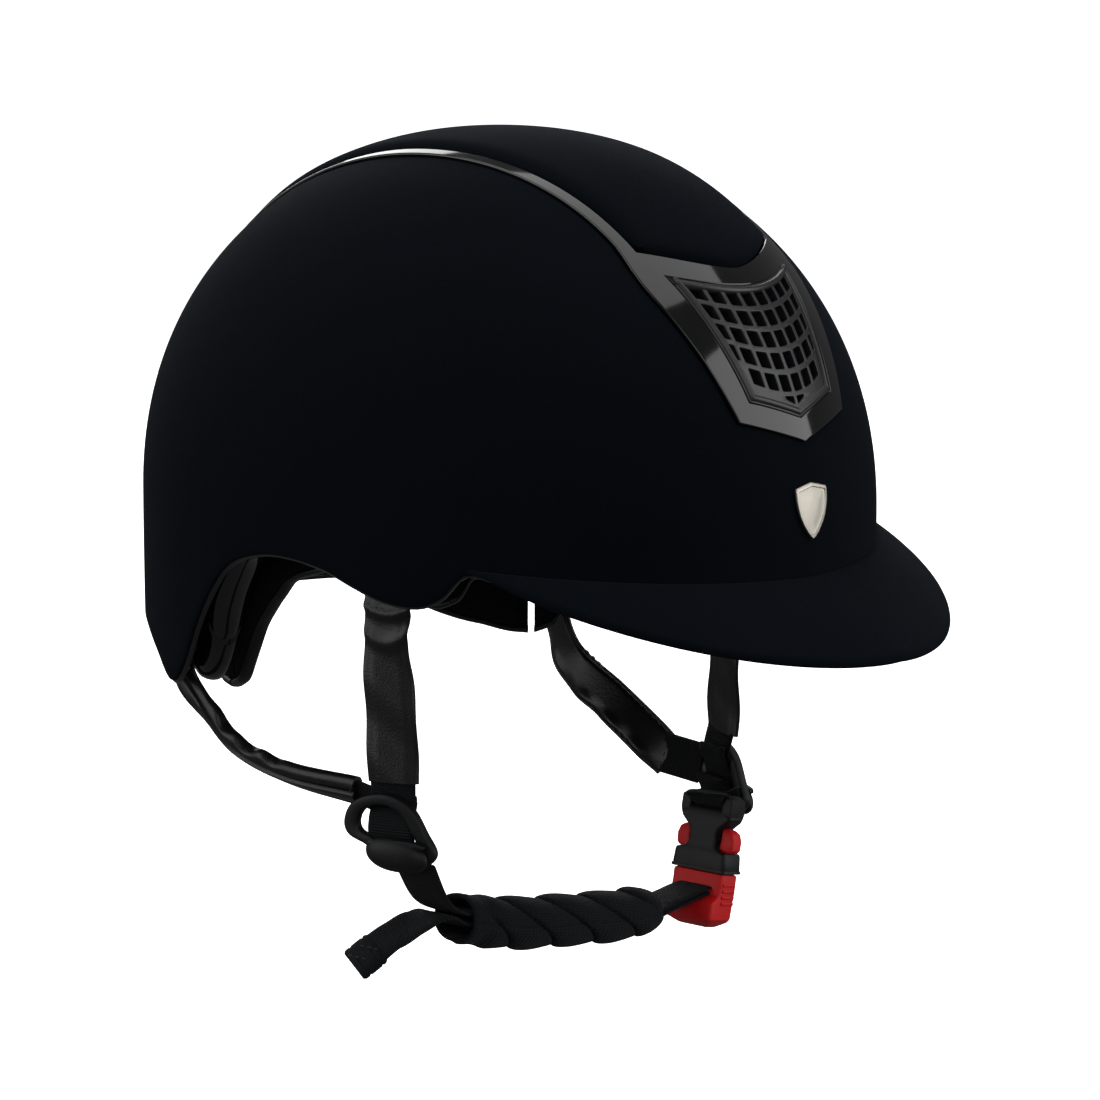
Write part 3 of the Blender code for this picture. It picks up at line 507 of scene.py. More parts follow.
def makeShell():
    look = {"thickness": 0.0034, "recess": 0.0024, "shoulder": 0.0011, "columns": 236, "rows": 46}
    corners = []
    for end in ("front", "rear"):
        over = shapes["frame"][end][1]
        spot = crownPoint(over, halfWidth(shapes["frame"], over))
        corners.append(abs(math.atan2(spot.x, -spot.y)))
    angles = [k * 2 * math.pi / look["columns"] for k in range(look["columns"])]
    for corner in corners:
        for target in (corner, 2 * math.pi - corner):
            nearest = min(range(len(angles)), key=lambda k: abs(angles[k] - target))
            angles[nearest] = target
    outline = [frameHeight(angle) for angle in angles]
    rows = []
    top = dome["crownHeight"]
    floor = top - look["recess"]
    for share in spread(0.02, 1, 14):  # channel floor, from the crown out to the channel's wall
        rows.append([sidePoint(a, floor * math.cos(share * math.acos(min(1, h / floor))), look["recess"])
                     for a, h in zip(angles, outline)])
    for depth, inside in ((0.0011, 0.0), (0.0004, 0.0002), (0.0001, 0.0006)):
        rows.append([sidePoint(a, h - inside, depth) for a, h in zip(angles, outline)])
    for share in spread(0, 1, look["rows"]):
        row = []
        for a, h in zip(angles, outline):
            start, end = h - look["shoulder"], rimHeight(a, 0.0006)
            tilt = math.acos(min(1, max(-1, start / top)))
            drop = math.acos(min(1, max(-1, end / top)))
            row.append(sidePoint(a, top * math.cos(tilt + (drop - tilt) * share)))
        rows.append(row)
    for depth, inside in ((0.0003, 0.0), (0.0011, -0.0003), (0.0023, -0.0003), (0.0031, 0.0),
                          (look["thickness"], 0.0006)):
        rows.append([sidePoint(a, rimHeight(a, inside), depth) for a in angles])
    inner = top - look["thickness"]
    for share in spread(0.06, 0.985, 16):
        row = []
        for a in angles:
            drop = math.acos(max(-1, rimHeight(a, 0.0006) / top))
            row.append(sidePoint(a, inner * math.cos(drop * (1 - share)), look["thickness"]))
        rows.append(row)
    makePiece("shellCover", [patch(rows, loop=True, fill=True)], "suede", ["outer_shell"], sharp=60)


def makeShellLip():  # the shell's own gloss edge that shows inside the cover
    look = {"outer": 0.0011, "inner": 0.0031, "drop": 0.0012}
    rows = []
    section = [(0.0, 0.0012), (0.05, -0.4), (0.3, -0.9), (0.6, -1.0), (0.9, -0.6), (1.0, 0.0), (1.0, 1.0)]
    for k in range(300):
        angle = k * 2 * math.pi / 300
        rows.append([sidePoint(angle, rimHeight(angle, look["drop"] * lift), look["outer"] + (
            look["inner"] - look["outer"]) * share) for share, lift in section])
    makePiece("shellLip", [patch(rows, loop=True, ring=True)], "gloss_black")


def framePoint(over, across):  # just above the shell's own line
    return crownPoint(over, across, -0.0010)


def makeTrimFrame():
    look = {"middle": 21, "band": 7, "thickness": 0.0020, "edge": 0.0007, "step": 2.2}
    outer = shapes["frame"]
    windows = [shapes["grille"], shapes["panel"], shapes["rearGrille"]]

    def windowEdge(shape, end):  # a window's front or rear edge: (middle, corner, half width, bend)
        bend = shape.get("rearBend", shape["bend"]) if end == "rear" else shape["bend"]
        return (*shape[end], halfWidth(shape, shape[end][1]) + 0.0004, bend)

    # each line across the frame: middle, corner, half width, bend, where it meets the frame's side
    lines = [(outer["front"][0], 74.0, 0.0185, 1.0, outer["front"][1])]
    for shape in windows:
        front, rear = windowEdge(shape, "front"), windowEdge(shape, "rear")
        lines += [(*front, front[1]), (*rear, rear[1])]
    lines.append((outer["rear"][0], -94.0, 0.0170, 1.0, outer["rear"][1]))

    def fullRow(line):
        middle, corner, half, bend, side = line
        outHalf = halfWidth(outer, side)
        row = [(side + (corner - side) * t, outHalf + (half - outHalf) * t)
               for t in spread(0, 1, look["band"])]
        left = [(over, -across) for over, across in row]
        centre = [(middle + (corner - middle) * abs(u) ** bend, half * u)
                  for u in spread(-1, 1, look["middle"])[1:-1]]
        return [framePoint(over, across) for over, across in left + centre + row[::-1]]

    def blendLines(first, second, t):
        return tuple(a + (b - a) * t for a, b in zip(first, second))

    patches = []
    for k in range(len(lines) - 1):
        first, second = lines[k], lines[k + 1]
        count = max(3, round(abs(first[1] - second[1]) / look["step"]) + 1)
        if k % 2 == 0:  # a solid stretch between two windows, or between a window and an end
            patches.append(patch([fullRow(blendLines(first, second, t)) for t in spread(0, 1, count)]))
            continue
        shape = windows[k // 2]
        for sign in (-1, 1):
            rows = []
            for t in spread(0, 1, count):
                over = first[1] + (second[1] - first[1]) * t
                inner, outHalf = halfWidth(shape, over) + 0.0004, halfWidth(outer, over)
                rows.append([framePoint(over, sign * (outHalf + (inner - outHalf) * s))
                             for s in spread(0, 1, look["band"])])
            patches.append(patch(rows))
    piece = makePiece("trimFrame", patches, "gloss_black", ["trim_frame"], outward=domeCentre, sharp=70)
    return thicken(piece, look["thickness"], look["edge"])


def roundCorner(x, y, radius):  # distances from two edges, drawn in to a round corner
    if x >= radius or y >= radius:
        return x, y
    a, b = 1 - x / radius, 1 - y / radius
    return radius * (1 - a * math.sqrt(1 - b * b / 2)), radius * (1 - b * math.sqrt(1 - a * a / 2))


def edgeSteps(start, end, count, fine):  # even steps with extra ones close to both ends
    span = end - start
    extra = [0.0, 0.12 * fine, 0.3 * fine, 0.6 * fine]
    inner = spread(fine, 1 - fine, count)
    return [start + span * t for t in extra + inner + [1 - t for t in reversed(extra)]]


def makePanel():
    look = {"rise": 0.0026, "sink": 0.0009, "shoulder": 0.0050, "corner": 0.0050, "arc": 0.122}
    shape = shapes["panel"]
    rows = []
    lengthRow = math.radians(shape["front"][1] - shape["rear"][1]) * look["arc"]
    for v in edgeSteps(0, 1, 74, 0.03):
        row = []
        for u in edgeSteps(-1, 1, 26, 0.06):
            half = halfWidth(shape, shape["front"][1] + (shape["rear"][1] - shape["front"][1]) * v)
            acrossGap, alongGap = (1 - abs(u)) * half, min(v, 1 - v) * lengthRow
            x, y = roundCorner(acrossGap, alongGap, look["corner"])
            un = math.copysign(1 - x / half, u)
            vn = y / lengthRow if v < 0.5 else 1 - y / lengthRow
            middle = shape["front"][0] + (shape["rear"][0] - shape["front"][0]) * vn
            side = shape["front"][1] + (shape["rear"][1] - shape["front"][1]) * vn
            near = min(1.0, min(x, y) / look["shoulder"])
            height = -look["sink"] + (look["rise"] + look["sink"]) * math.sqrt(1 - (1 - near) ** 2.4)
            row.append(crownPoint(middle + (side - middle) * abs(un) ** shape["bend"], half * un, -height))
        rows.append(row)
    under = [[p + (domeCentre - p).normalized() * 0.0022 for p in row] for row in rows]
    walls = [[rows[k], under[k]] for k in (0, -1)]
    walls += [[[row[k] for row in rows], [row[k] for row in under]] for k in (0, -1)]
    makePiece("crownPanel", [patch(rows), patch(under)] + [patch(wall) for wall in walls], "suede",
              ["crown_panel"], sharp=75)


def roundedLoop(corners, radius, steps=4):  # a polygon of (x, y) with its corners rounded
    loop = []
    for k, corner in enumerate(corners):
        before, after = Vector(corners[k - 1]), Vector(corners[(k + 1) % len(corners)])
        corner = Vector(corner)
        arms = [before - corner, after - corner]
        cut = min(radius, arms[0].length * 0.45, arms[1].length * 0.45)
        start, end = corner + arms[0].normalized() * cut, corner + arms[1].normalized() * cut
        for t in spread(0, 1, steps):
            loop.append((start * (1 - t) + corner * t) * (1 - t) + (corner * (1 - t) + end * t) * t)
    return loop


grilleLook = {"border": 0.0034, "bar": 0.0016, "gap": 0.022, "round": 0.0005, "arc": 0.122, "lift": 0.0005,
              "bead": 0.0011, "sink": 0.0006, "deep": 0.0017, "soft": 0.00028, "facet": 0.004,
              "pitch": 0.00535, "widening": 0.00075, "least": 0.0016}


def grillePoint(shape, u, v):  # across and along the plate in metres, before it is wrapped on the crown
    middle = shape["front"][0] + (shape["rear"][0] - shape["front"][0]) * v
    side = shape["front"][1] + (shape["rear"][1] - shape["front"][1]) * v
    # a point in front, rows that sag behind it
    bend = shape["bend"] + (shape["rearBend"] - shape["bend"]) * ease(v / 0.15)
    over = middle + (side - middle) * abs(u) ** bend
    return Vector((halfWidth(shape, side) * u, math.radians(over) * grilleLook["arc"]))


def grilleHoles(shape, rowCount, first, last):  # rows of slanted openings, cut off at the border
    look, holes = grilleLook, []
    height = (last - first) / rowCount
    for row in range(rowCount):
        ends = []
        for v in (first + height * row + look["gap"], first + height * (row + 1) - look["gap"]):
            wide = halfWidth(shape, shape["front"][1] + (shape["rear"][1] - shape["front"][1]) * v)
            ends.append((v, wide, look["pitch"] + look["widening"] * v, wide - look["border"]))
        for column in range(-5, 5):
            sides = []
            for v, wide, pitch, limit in ends:
                a, b = column * pitch + look["bar"] / 2, (column + 1) * pitch - look["bar"] / 2
                sides.append((v, wide, max(-limit, min(limit, a)), max(-limit, min(limit, b))))
            if max(b - a for _, _, a, b in sides) < look["least"]:
                continue
            low, high = [[grillePoint(shape, x / wide, v) for x in (a, max(b, a + 0.0002))]
                         for v, wide, a, b in sides]
            holes.append(roundedLoop(low + high[::-1], look["round"]))
    return holes


def cutPlate(name, border, holes):  # a flat plate with its openings, in faces small enough to bend
    look = grilleLook
    curve = bpy.data.curves.new(name + "Outline", "CURVE")
    curve.dimensions = "2D"
    curve.fill_mode = "BOTH"
    curve.extrude = look["deep"] / 2
    curve.bevel_depth = look["soft"]
    curve.bevel_resolution = 2
    curve.offset = -look["soft"]
    for loop in [border] + holes:
        spline = curve.splines.new("POLY")
        spline.points.add(len(loop) - 1)
        spline.use_cyclic_u = True
        for point, spot in zip(spline.points, loop):
            point.co = (spot[0], spot[1], 0, 1)
    source = bpy.data.objects.new(name + "Outline", curve)
    bpy.context.scene.collection.objects.link(source)
    mesh = bpy.data.meshes.new_from_object(source.evaluated_get(bpy.context.evaluated_depsgraph_get()))
    bpy.data.objects.remove(source)
    bm = bmesh.new()
    bm.from_mesh(mesh)
    for axis in (0, 1):
        places = [vertex.co[axis] for vertex in bm.verts]
        low, high = min(places), max(places)
        for k in range(1, int((high - low) / look["facet"]) + 1):
            normal, spot = Vector((0, 0, 0)), Vector((0, 0, 0))
            normal[axis], spot[axis] = 1.0, low + k * look["facet"]
            bmesh.ops.bisect_plane(bm, geom=bm.verts[:] + bm.edges[:] + bm.faces[:], dist=1e-7,
                                   plane_co=spot, plane_no=normal)
    bm.to_mesh(mesh)
    bm.free()
    return mesh


def makeGrille(name, key, node, rowCount):
    look, shape = grilleLook, shapes[key]

    def flat(u, v):
        return grillePoint(shape, u, v)

    def wrap(spot, height):
        return crownPoint(math.degrees(spot[1] / look["arc"]), spot[0], -height)

    across, along = spread(-1, 1, 31), spread(0, 1, 25)
    border = [flat(u, 0) for u in across] + [flat(1, v) for v in along[1:]]
    border += [flat(u, 1) for u in across[-2::-1]] + [flat(-1, v) for v in along[-2:0:-1]]
    if key == "grille":
        holes = grilleHoles(shape, rowCount, 0.16, 0.965)
        for sign in (-1, 1):  # two small openings beside the middle of the point
            holes.append(roundedLoop([flat(u * sign, v) for u, v in (
                (0.035, 0.092), (0.035, 0.146), (0.22, 0.146), (0.20, 0.124))], 0.0004))
    else:
        holes = grilleHoles(shape, rowCount, 0.12, 0.88)
    mesh = cutPlate(name, border, holes)
    for vertex in mesh.vertices:
        vertex.co = wrap(vertex.co, vertex.co.z - look["deep"] / 2 + look["lift"])
    beadRows = []
    for k, spot in enumerate(border):  # a rounded rim round the plate
        inward = flat(0, 0.5) - spot
        before, after = border[k - 1], border[(k + 1) % len(border)]
        normal = Vector((-(after - before).y, (after - before).x)).normalized()
        normal *= 1 if normal.dot(inward) > 0 else -1
        beadRows.append([wrap(spot + normal * (0.0003 + 0.0026 * (1 - math.cos(t)) / 2),
                              look["lift"] - look["sink"] + (look["sink"] + look["bead"]) * math.sin(t))
                         for t in spread(0, math.pi, 9)])
    plate = makePiece(name, [patch(beadRows, loop=True, ring=True)], "grille_grey", [node])
    bm = bmesh.new()
    bm.from_mesh(plate.data)
    bm.from_mesh(mesh)
    bmesh.ops.remove_doubles(bm, verts=bm.verts, dist=2e-6)
    bmesh.ops.recalc_face_normals(bm, faces=bm.faces)
    bm.to_mesh(plate.data)
    bm.free()
    plate.data.shade_smooth()
    plate.data.set_sharp_from_angle(angle=math.radians(38))
    bpy.data.meshes.remove(mesh)


def makeBadge():
    look = {"half": 0.0073, "top": 0.0176, "rim": 0.84}
    outline = [(0.0, 1.0), (0.97, 0.91), (1.0, 0.87), (0.99, 0.72), (0.93, 0.57), (0.80, 0.40),
               (0.62, 0.26), (0.40, 0.135), (0.18, 0.035), (0.0, -0.02)]
    shield = roundedLoop(outline + [(-w, v) for w, v in reversed(outline[1:-1])], 0.05, 3)
    rows = []
    for size, lift in ((0.97, 0.0003), (1.0, 0.0005), (1.0, 0.0010), (0.97, 0.0013),
                       (look["rim"] + 0.03, 0.00135), (look["rim"], 0.0011), (look["rim"] - 0.06, 0.00105),
                       (0.5, 0.00125), (0.2, 0.0013)):
        rows.append([sidePoint(math.asin(w * size * look["half"] / dome["frontLength"]),
                               look["top"] * (0.52 + (v - 0.52) * size), -lift) for w, v in shield])
    makePiece("badgeShield", [patch(rows, loop=True, fill=True)], "badge_metal", ["badge"], sharp=30)


peakShape = {"halfWidth": 0.0912, "rootAhead": 0.0690, "reach": 0.0995, "tailHeight": -0.0070,
             "tipHeight": -0.0345, "square": 1.782, "thickness": 0.0032, "halfAngle": math.radians(52.3),
             "jointFront": -0.0112, "jointTail": -0.0052}


def peakEdge(share):  # outer edge from one tail (-1) over the tip (0) to the other tail (1)
    turn = share * math.pi / 2
    power = 2 / peakShape["square"]
    out = peakShape["halfWidth"] * squared(math.sin(turn), power)
    ahead = peakShape["rootAhead"] + peakShape["reach"] * abs(math.cos(turn)) ** power
    fall = peakShape["tipHeight"] - peakShape["tailHeight"]
    above = peakShape["tailHeight"] + fall * abs(math.cos(turn)) ** 1.16
    return place(out, ahead, above - 0.0019 * math.sin(2 * abs(turn)))


def makePeak():
    look = {"columns": 121, "rows": 26, "round": 7}
    rows = []
    for share in [math.sin(s) / math.sin(1.45) * 0.99 for s in spread(-1.45, 1.45, look["columns"])]:
        rise = peakShape["jointTail"] - peakShape["jointFront"]
        joint = peakShape["jointFront"] + rise * abs(share) ** 1.4
        angle = share * peakShape["halfAngle"]
        root = sidePoint(angle, joint, 0.0002)
        edge = peakEdge(share) + Vector((0, 0, peakShape["thickness"] * 0.6))
        reach = (edge - root).length
        thick = min(peakShape["thickness"], 0.0012 + reach * 0.16)
        out = (edge - root).normalized()
        up = Vector((0, 0, 1))

        def spot(t, root=root, edge=edge, reach=reach):
            bow = 0.06 * reach * 4 * t * (1 - t)
            tuck = 0.0010 * math.exp(-(t * reach / 0.0016) ** 2)  # the cover dips into the joint line
            return root.lerp(edge, t) + Vector((0, 0, bow - tuck))
        steps = [0, 0.004, 0.01, 0.02] + spread(0.035, 1 - thick / max(reach, 0.004) / 2, look["rows"])
        over = [spot(t) for t in steps]
        centre = over[-1] - up * thick / 2
        turned = [centre + (out * math.sin(a) + up * math.cos(a)) * thick / 2
                  for a in spread(0, math.pi, look["round"])[1:-1]]
        under = [p - up * thick for p in reversed(over)]
        rows.append(over + turned + under)
    makePiece("peakCover", [patch(rows, loop=True)], "suede", ["peak"], sharp=60)


seamSteps = (-0.0075, -0.0045, -0.0015, 0.0, 0.0015, 0.0045, 0.0075)
bandSeam = 114.6  # degrees from straight ahead
bandAngles = sorted([k * 2 * math.pi / 260 for k in range(260)]
                    + [(sign * math.radians(bandSeam) + step) % (2 * math.pi)
                       for sign in (1, -1) for step in seamSteps])


def makeEdgeBand():
    look = {"outer": 0.0040, "inner": 0.0195, "gap": 0.0012, "notch": 0.0042, "rear": 124.0}
    section = [(0.0, 12.5), (0.0, 8.0), (0.01, 5.2), (0.05, 3.3), (0.12, 1.6), (0.22, 0.4), (0.34, -0.3),
               (0.48, -0.6), (0.62, -0.5), (0.75, 0.2), (0.86, 1.6), (0.94, 3.4), (0.985, 5.6), (1.0, 8.5),
               (1.0, 12.5)]
    rows = []
    for angle in bandAngles:
        degrees = aside(angle)
        notch = ease((13.5 - abs(degrees - look["rear"])) / 8.0)
        outer = look["outer"] + look["notch"] * notch
        pinch = look["gap"] * math.exp(-((degrees - bandSeam) / 0.16) ** 2)
        row = []
        for across, inside in section:
            pull = pinch * min(1.0, max(0.0, (12.5 - inside) / 6))
            depth = outer + (look["inner"] - outer) * across + pull * (1 - 2 * across) * 0.6
            row.append(sidePoint(angle, rimHeight(angle, (inside + pull * 1000) / 1000), depth))
        rows.append(row)
    makePiece("edgeBand", [patch(rows, loop=True, ring=True)], "gloss_black", ["liner_edge_band"], sharp=55)


def makeLiner():
    look = {"outer": 0.0040, "inner": 0.0210, "band": 0.0135, "channel": 0.0035, "width": 0.007}
    grids = []
    for depth, count, carve in ((look["outer"], 18, 0), (look["inner"], 44, look["channel"])):
        rows = []
        for share in spread(0, 0.985, count):
            row = []
            for k in range(180):
                angle = k * 2 * math.pi / 180
                low = rimHeight(angle, look["band"])
                start = math.asin(low / dome["crownHeight"])
                base = math.sin(start)
                climb = (math.sin(start + (math.pi / 2 - start) * share) - base) / (1 - base)
                above = low + (dome["crownHeight"] - depth - low) * climb
                spot = sidePoint(angle, above, depth)
                if carve:  # three air channels from front to back, and one round the head
                    near = min(abs(abs(spot.x) - 0.033), abs(spot.x)) if above > 0.02 else 1
                    near = min(near, abs(above - 0.024))
                    spot = sidePoint(angle, above, depth - carve * ease(1.4 - near / look["width"] * 2))
                row.append(spot)
            rows.append(row)
        grids.append(rows)
    outer, inner = grids
    makePiece("foamLiner", [patch(inner[::-1] + outer, loop=True, fill=True)], "liner_foam", ["impact_liner"])


padDepths = {"outer": 0.0222, "inner": 0.0270}
# How far the pads reach below the shell: angle from straight ahead in degrees, millimetres
padReach = [(0, 4.5), (50, 4.0), (75, 3.0), (85, 5.5), (92, 8.0), (98, 8.0), (104, 6.0), (109, 3.0),
            (115, -1.0), (120, -2.0), (124, 2.0), (131, 11.0), (140, 15.0), (150, 12.0), (158, 4.0),
            (180, 2.0)]


def makeComfortPad(name, node, start, end, top, channels):
    look = {"puff": 0.0013, "sew": 0.0018, "binding": 0.0016, "count": 150}
    rows, flow, piping, pipingFlow = [], [], [], []
    along, last = 0.0, None
    centre = (padDepths["inner"] + padDepths["outer"]) / 2
    thick = (padDepths["inner"] - padDepths["outer"]) / 2
    for k, degrees in enumerate(spread(start, end, look["count"])):
        angle = math.radians(degrees)
        low = rimHeight(angle, -smooth(padReach, aside(angle)) / 1000)
        share = k / (look["count"] - 1)
        tip = ease(share / 0.03) * ease((1 - share) / 0.03)
        seam = math.exp(-((share * channels) % 1 - 0.5) ** 2 / 0.0012) if channels else 0
        row, spots = [], []
        for t in around(28):
            rise, bulge = -math.cos(t), math.sin(t)
            v = 0.5 + 0.5 * squared(rise, 0.7)
            puff = squared(bulge, 0.55)
            quilt = 1 + 0.30 * math.cos(v * math.pi * 4) * (1 if puff > 0 else 0)
            depth = centre + puff * thick * (0.35 + 0.65 * tip)
            depth += look["puff"] * quilt * max(0, puff) * tip - look["sew"] * seam * max(0, puff)
            above = low + 0.0006 + (top - low) * v
            row.append(sidePoint(angle, above, depth))
            spots.append(above)
        middle = sidePoint(angle, low, padDepths["inner"])
        along += (middle - last).length * 1000 if last else 0.0
        last = middle
        rows.append(row)
        flow.append([(along, above * 1000) for above in spots])
        piping.append([sidePoint(angle, low + 0.0002 + look["binding"] * 0.9 * math.sin(t),
                                 centre + look["binding"] * 1.35 * math.cos(t)) for t in around(12)])
        pipingFlow.append([(along, t * 3) for t in range(12)])
    pad = makePiece(name, [patch(rows, loop=True, fill=True, flow=flow)], "lining", [node])
    makePiece(name + "Binding", [patch(piping, loop=True, fill=True, flow=pipingFlow)], "leatherette")


def makeCrownPad():
    look = {"half": 0.0330, "length": 0.0430, "foam": 0.0218}
    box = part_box("crown_pad")
    rows, flow = [], []
    for ring in range(40):
        t = math.pi * (ring + 0.5) / 40
        size = math.sin(t) ** 0.55
        row, spots = [], []
        for k in range(96):
            angle = k * 2 * math.pi / 96
            out, ahead = look["half"] * size * math.sin(angle), look["length"] * size * math.cos(angle)
            if t < math.pi / 2:
                quilt = math.cos(out * math.pi / 0.020) * math.cos(ahead * math.pi / 0.024)
                above = 0.0012 - 0.0012 * size + 0.0011 * (1 - abs(quilt)) * (1 - size ** 6)
                spot = Vector((out, -ahead, box[0].z + above + 0.0022 * (size ** 8)))
            else:
                flatness = math.hypot(out / (dome["halfWidth"] - look["foam"]),
                                      ahead / (dome["frontLength"] - look["foam"]))
                arch = (1 - flatness ** dome["square"]) ** (1 / dome["square"])
                ceiling = (dome["crownHeight"] - 0.0222) * arch
                roof = ceiling - dome["seatHeight"] - 0.0006
                spot = Vector((out, -ahead, box[0].z + 0.0022 + (roof - 0.0022) * ease((1 - size) * 5)))
            row.append(spot)
            spots.append((spot.x * 1000, spot.y * 1000))
        rows.append(row)
        flow.append(spots)
    pad = makePiece("crownPad", [patch(rows, loop=True, fill=True, flow=flow)], "lining", ["crown_pad"])


harness = {
    "strapWidth": 0.0180, "webbingWidth": 0.0150, "webbingThick": 0.0014, "rearWidth": 0.0150,
    "cheekTurn": math.radians(16.0), "frontAnchor": 72.0, "rearAnchor": 124.0,
    "strapLayer": 0.0236, "rearLayer": 0.0054,
    "ringCentre": {"right": (0.0820, 0.0270, -0.0960), "left": (0.0855, 0.0210, -0.1040)},
    "rearRoute": {
        "right": [(0.0889, -0.0495, -0.0668), (0.0878, -0.0370, -0.0770), (0.0860, -0.0165, -0.0828),
                  (0.0832, 0.0134, -0.0850)],
        "left": [(0.0890, -0.0520, -0.0738), (0.0868, -0.0310, -0.0850), (0.0860, -0.0140, -0.0948),
                 (0.0860, -0.0036, -0.1014)]},
    "rearTuck": {"right": (0.0812, 0.0190, -0.0872), "left": (0.0845, 0.0130, -0.1010)},
}


def cheek(side):  # side's sign, outward normal and forward width direction
    sign, turn = (1 if side == "left" else -1), harness["cheekTurn"]
    return (sign, Vector((sign * math.cos(turn), -math.sin(turn), 0)),
            Vector((-sign * math.sin(turn), -math.cos(turn), 0)))


def ringCentre(side):
    out, ahead, above = harness["ringCentre"][side]
    return place(out if side == "left" else -out, ahead, above)


def band(points, sides, count, width, thick, shape=None, across=14, power=8):
    # rows of a flat strap with rounded edges; shape may move each point: (share, x, top, w, h) -> (w, h)
    line, directions = route(points, count), route(points, count, sides)
    rows, flow, along = [], [], 0.0
    xs = [-math.cos(math.pi * k / across) for k in range(across + 1)]
    outline = [(x, 1) for x in xs] + [(x, -1) for x in reversed(xs[1:-1])]
    for k, spot in enumerate(line):
        ahead = line[min(k + 1, count - 1)] - line[max(k - 1, 0)]
        side = (directions[k] - ahead * (directions[k].dot(ahead) / ahead.dot(ahead))).normalized()
        face = side.cross(ahead).normalized()
        along += (spot - line[k - 1]).length * 1000 if k else 0.0
        row, marks = [], []
        for x, top in outline:
            w, h = x * width / 2, top * thick / 2 * math.sqrt(max(0.0, 1 - abs(x) ** power))
            if shape:
                w, h = shape(k / (count - 1), x, top, w, h)
            row.append(spot + side * w + face * h)
            marks.append((along, w * 1000))
        rows.append(row)
        flow.append(marks)
    return patch(rows, loop=True, fill=True, flow=flow)


def stitchRun(points, sides, offset, lift, pitch=0.0030, size=(0.0010, 0.00026)):
    # short raised threads beside the edge of a strap, as many as fit
    fine = route(points, 200)
    length = sum((b - a).length for a, b in zip(fine, fine[1:]))
    count = int(length / pitch)
    line, directions = route(points, count), route(points, count, sides)
    threads = []
    for k in range(1, count - 1):
        ahead = (line[k + 1] - line[k - 1]).normalized()
        side = (directions[k] - ahead * directions[k].dot(ahead)).normalized()
        face = side.cross(ahead).normalized()
        centre = line[k] + side * offset + face * lift
        rows = []
        for t in spread(-1, 1, 6):
            thin = math.sqrt(max(0.0, 1 - t ** 4)) * size[1] + 0.00002
            rows.append([centre + ahead * t * size[0] + (side * math.cos(a) + face * math.sin(a)) * thin
                         for a in around(6)])
        threads.append(patch(rows, loop=True, fill=True))
    return threads


def makeFrontStrap(side):
    look = {"thick": 0.0021, "sag": 0.0005, "count": 90}
    sign, normal, across = cheek(side)
    centre = ringCentre(side)
    top = centre + Vector((0, 0, 0.0122))
    turn = sign * math.radians(harness["frontAnchor"])
    depth = harness["strapLayer"]
    along = (sidePoint(turn + 0.1, 0.0, depth) - sidePoint(turn - 0.1, 0.0, depth)).normalized() * sign
    low = sidePoint(turn, -0.022, depth)
    points = [sidePoint(turn, 0.004, depth), low, low.lerp(top, 0.4),
              top + across * 0.0010 + Vector((0, 0, 0.0034))]
    sides = [along, along, -across, -across]

    def drape(share, x, upper, w, h):
        fold = 0.0011 * math.exp(-((share - 0.36 + 0.03 * x * x) / 0.018) ** 2)
        fold += 0.0009 * math.exp(-((share - 0.47 + 0.045 * x * x) / 0.028) ** 2)
        ripple = look["sag"] * math.sin(share * 21 + x * 1.8) * ease((share - 0.3) * 3)
        edge = -0.00035 * math.exp(-((abs(x) - 0.80) / 0.05) ** 2) * upper  # sewn hem
        pinch = 1.03 - 0.13 * math.exp(-((share - 0.46) / 0.13) ** 2)
        lean = 0.0012 * math.exp(-((share - 0.48) / 0.16) ** 2)
        return w * pinch + lean, h + edge + fold + ripple

    sleeve = band(points, sides, look["count"], harness["strapWidth"], look["thick"], drape)
    makePiece("frontStrap" + side.title(), [sleeve], "leatherette", ["front_strap_" + side])
    rise = (points[-2] - points[-1]).normalized()
    end = [points[-1] + rise * 0.0018 - across * 0.0080 * s for s in (1, 0, -1)]
    threads = []
    for lift in (0.0011, -0.0011):
        threads += stitchRun(end, [rise] * 3, 0.0, lift, 0.0024)
    makePiece("frontStrapStitch" + side.title(), threads, "leatherette", finish=threadLook)

    # webbing out of the strap, behind the top bar, then folded over in the ring's opening
    fall = Vector((0, 0, -1))
    base = top + across * 0.0008 + Vector((0, 0, 0.0062))
    path = [base, top + fall * 0.0012 - normal * 0.0016, top + fall * 0.0040 - normal * 0.0020,
            top + fall * 0.0080 - normal * 0.0002, top + fall * 0.0125 + normal * 0.0006,
            top + fall * 0.0165 - normal * 0.0004]
    layers = [band(path, [-across] * 6, 46, harness["webbingWidth"] * 1.08, harness["webbingThick"])]
    second = [p - normal * 0.0019 for p in path[1:]]
    layers.append(band(second, [-across] * 5, 36, harness["webbingWidth"], harness["webbingThick"]))
    makePiece("frontWebbing" + side.title(), layers, "webbing", ["front_webbing_" + side])


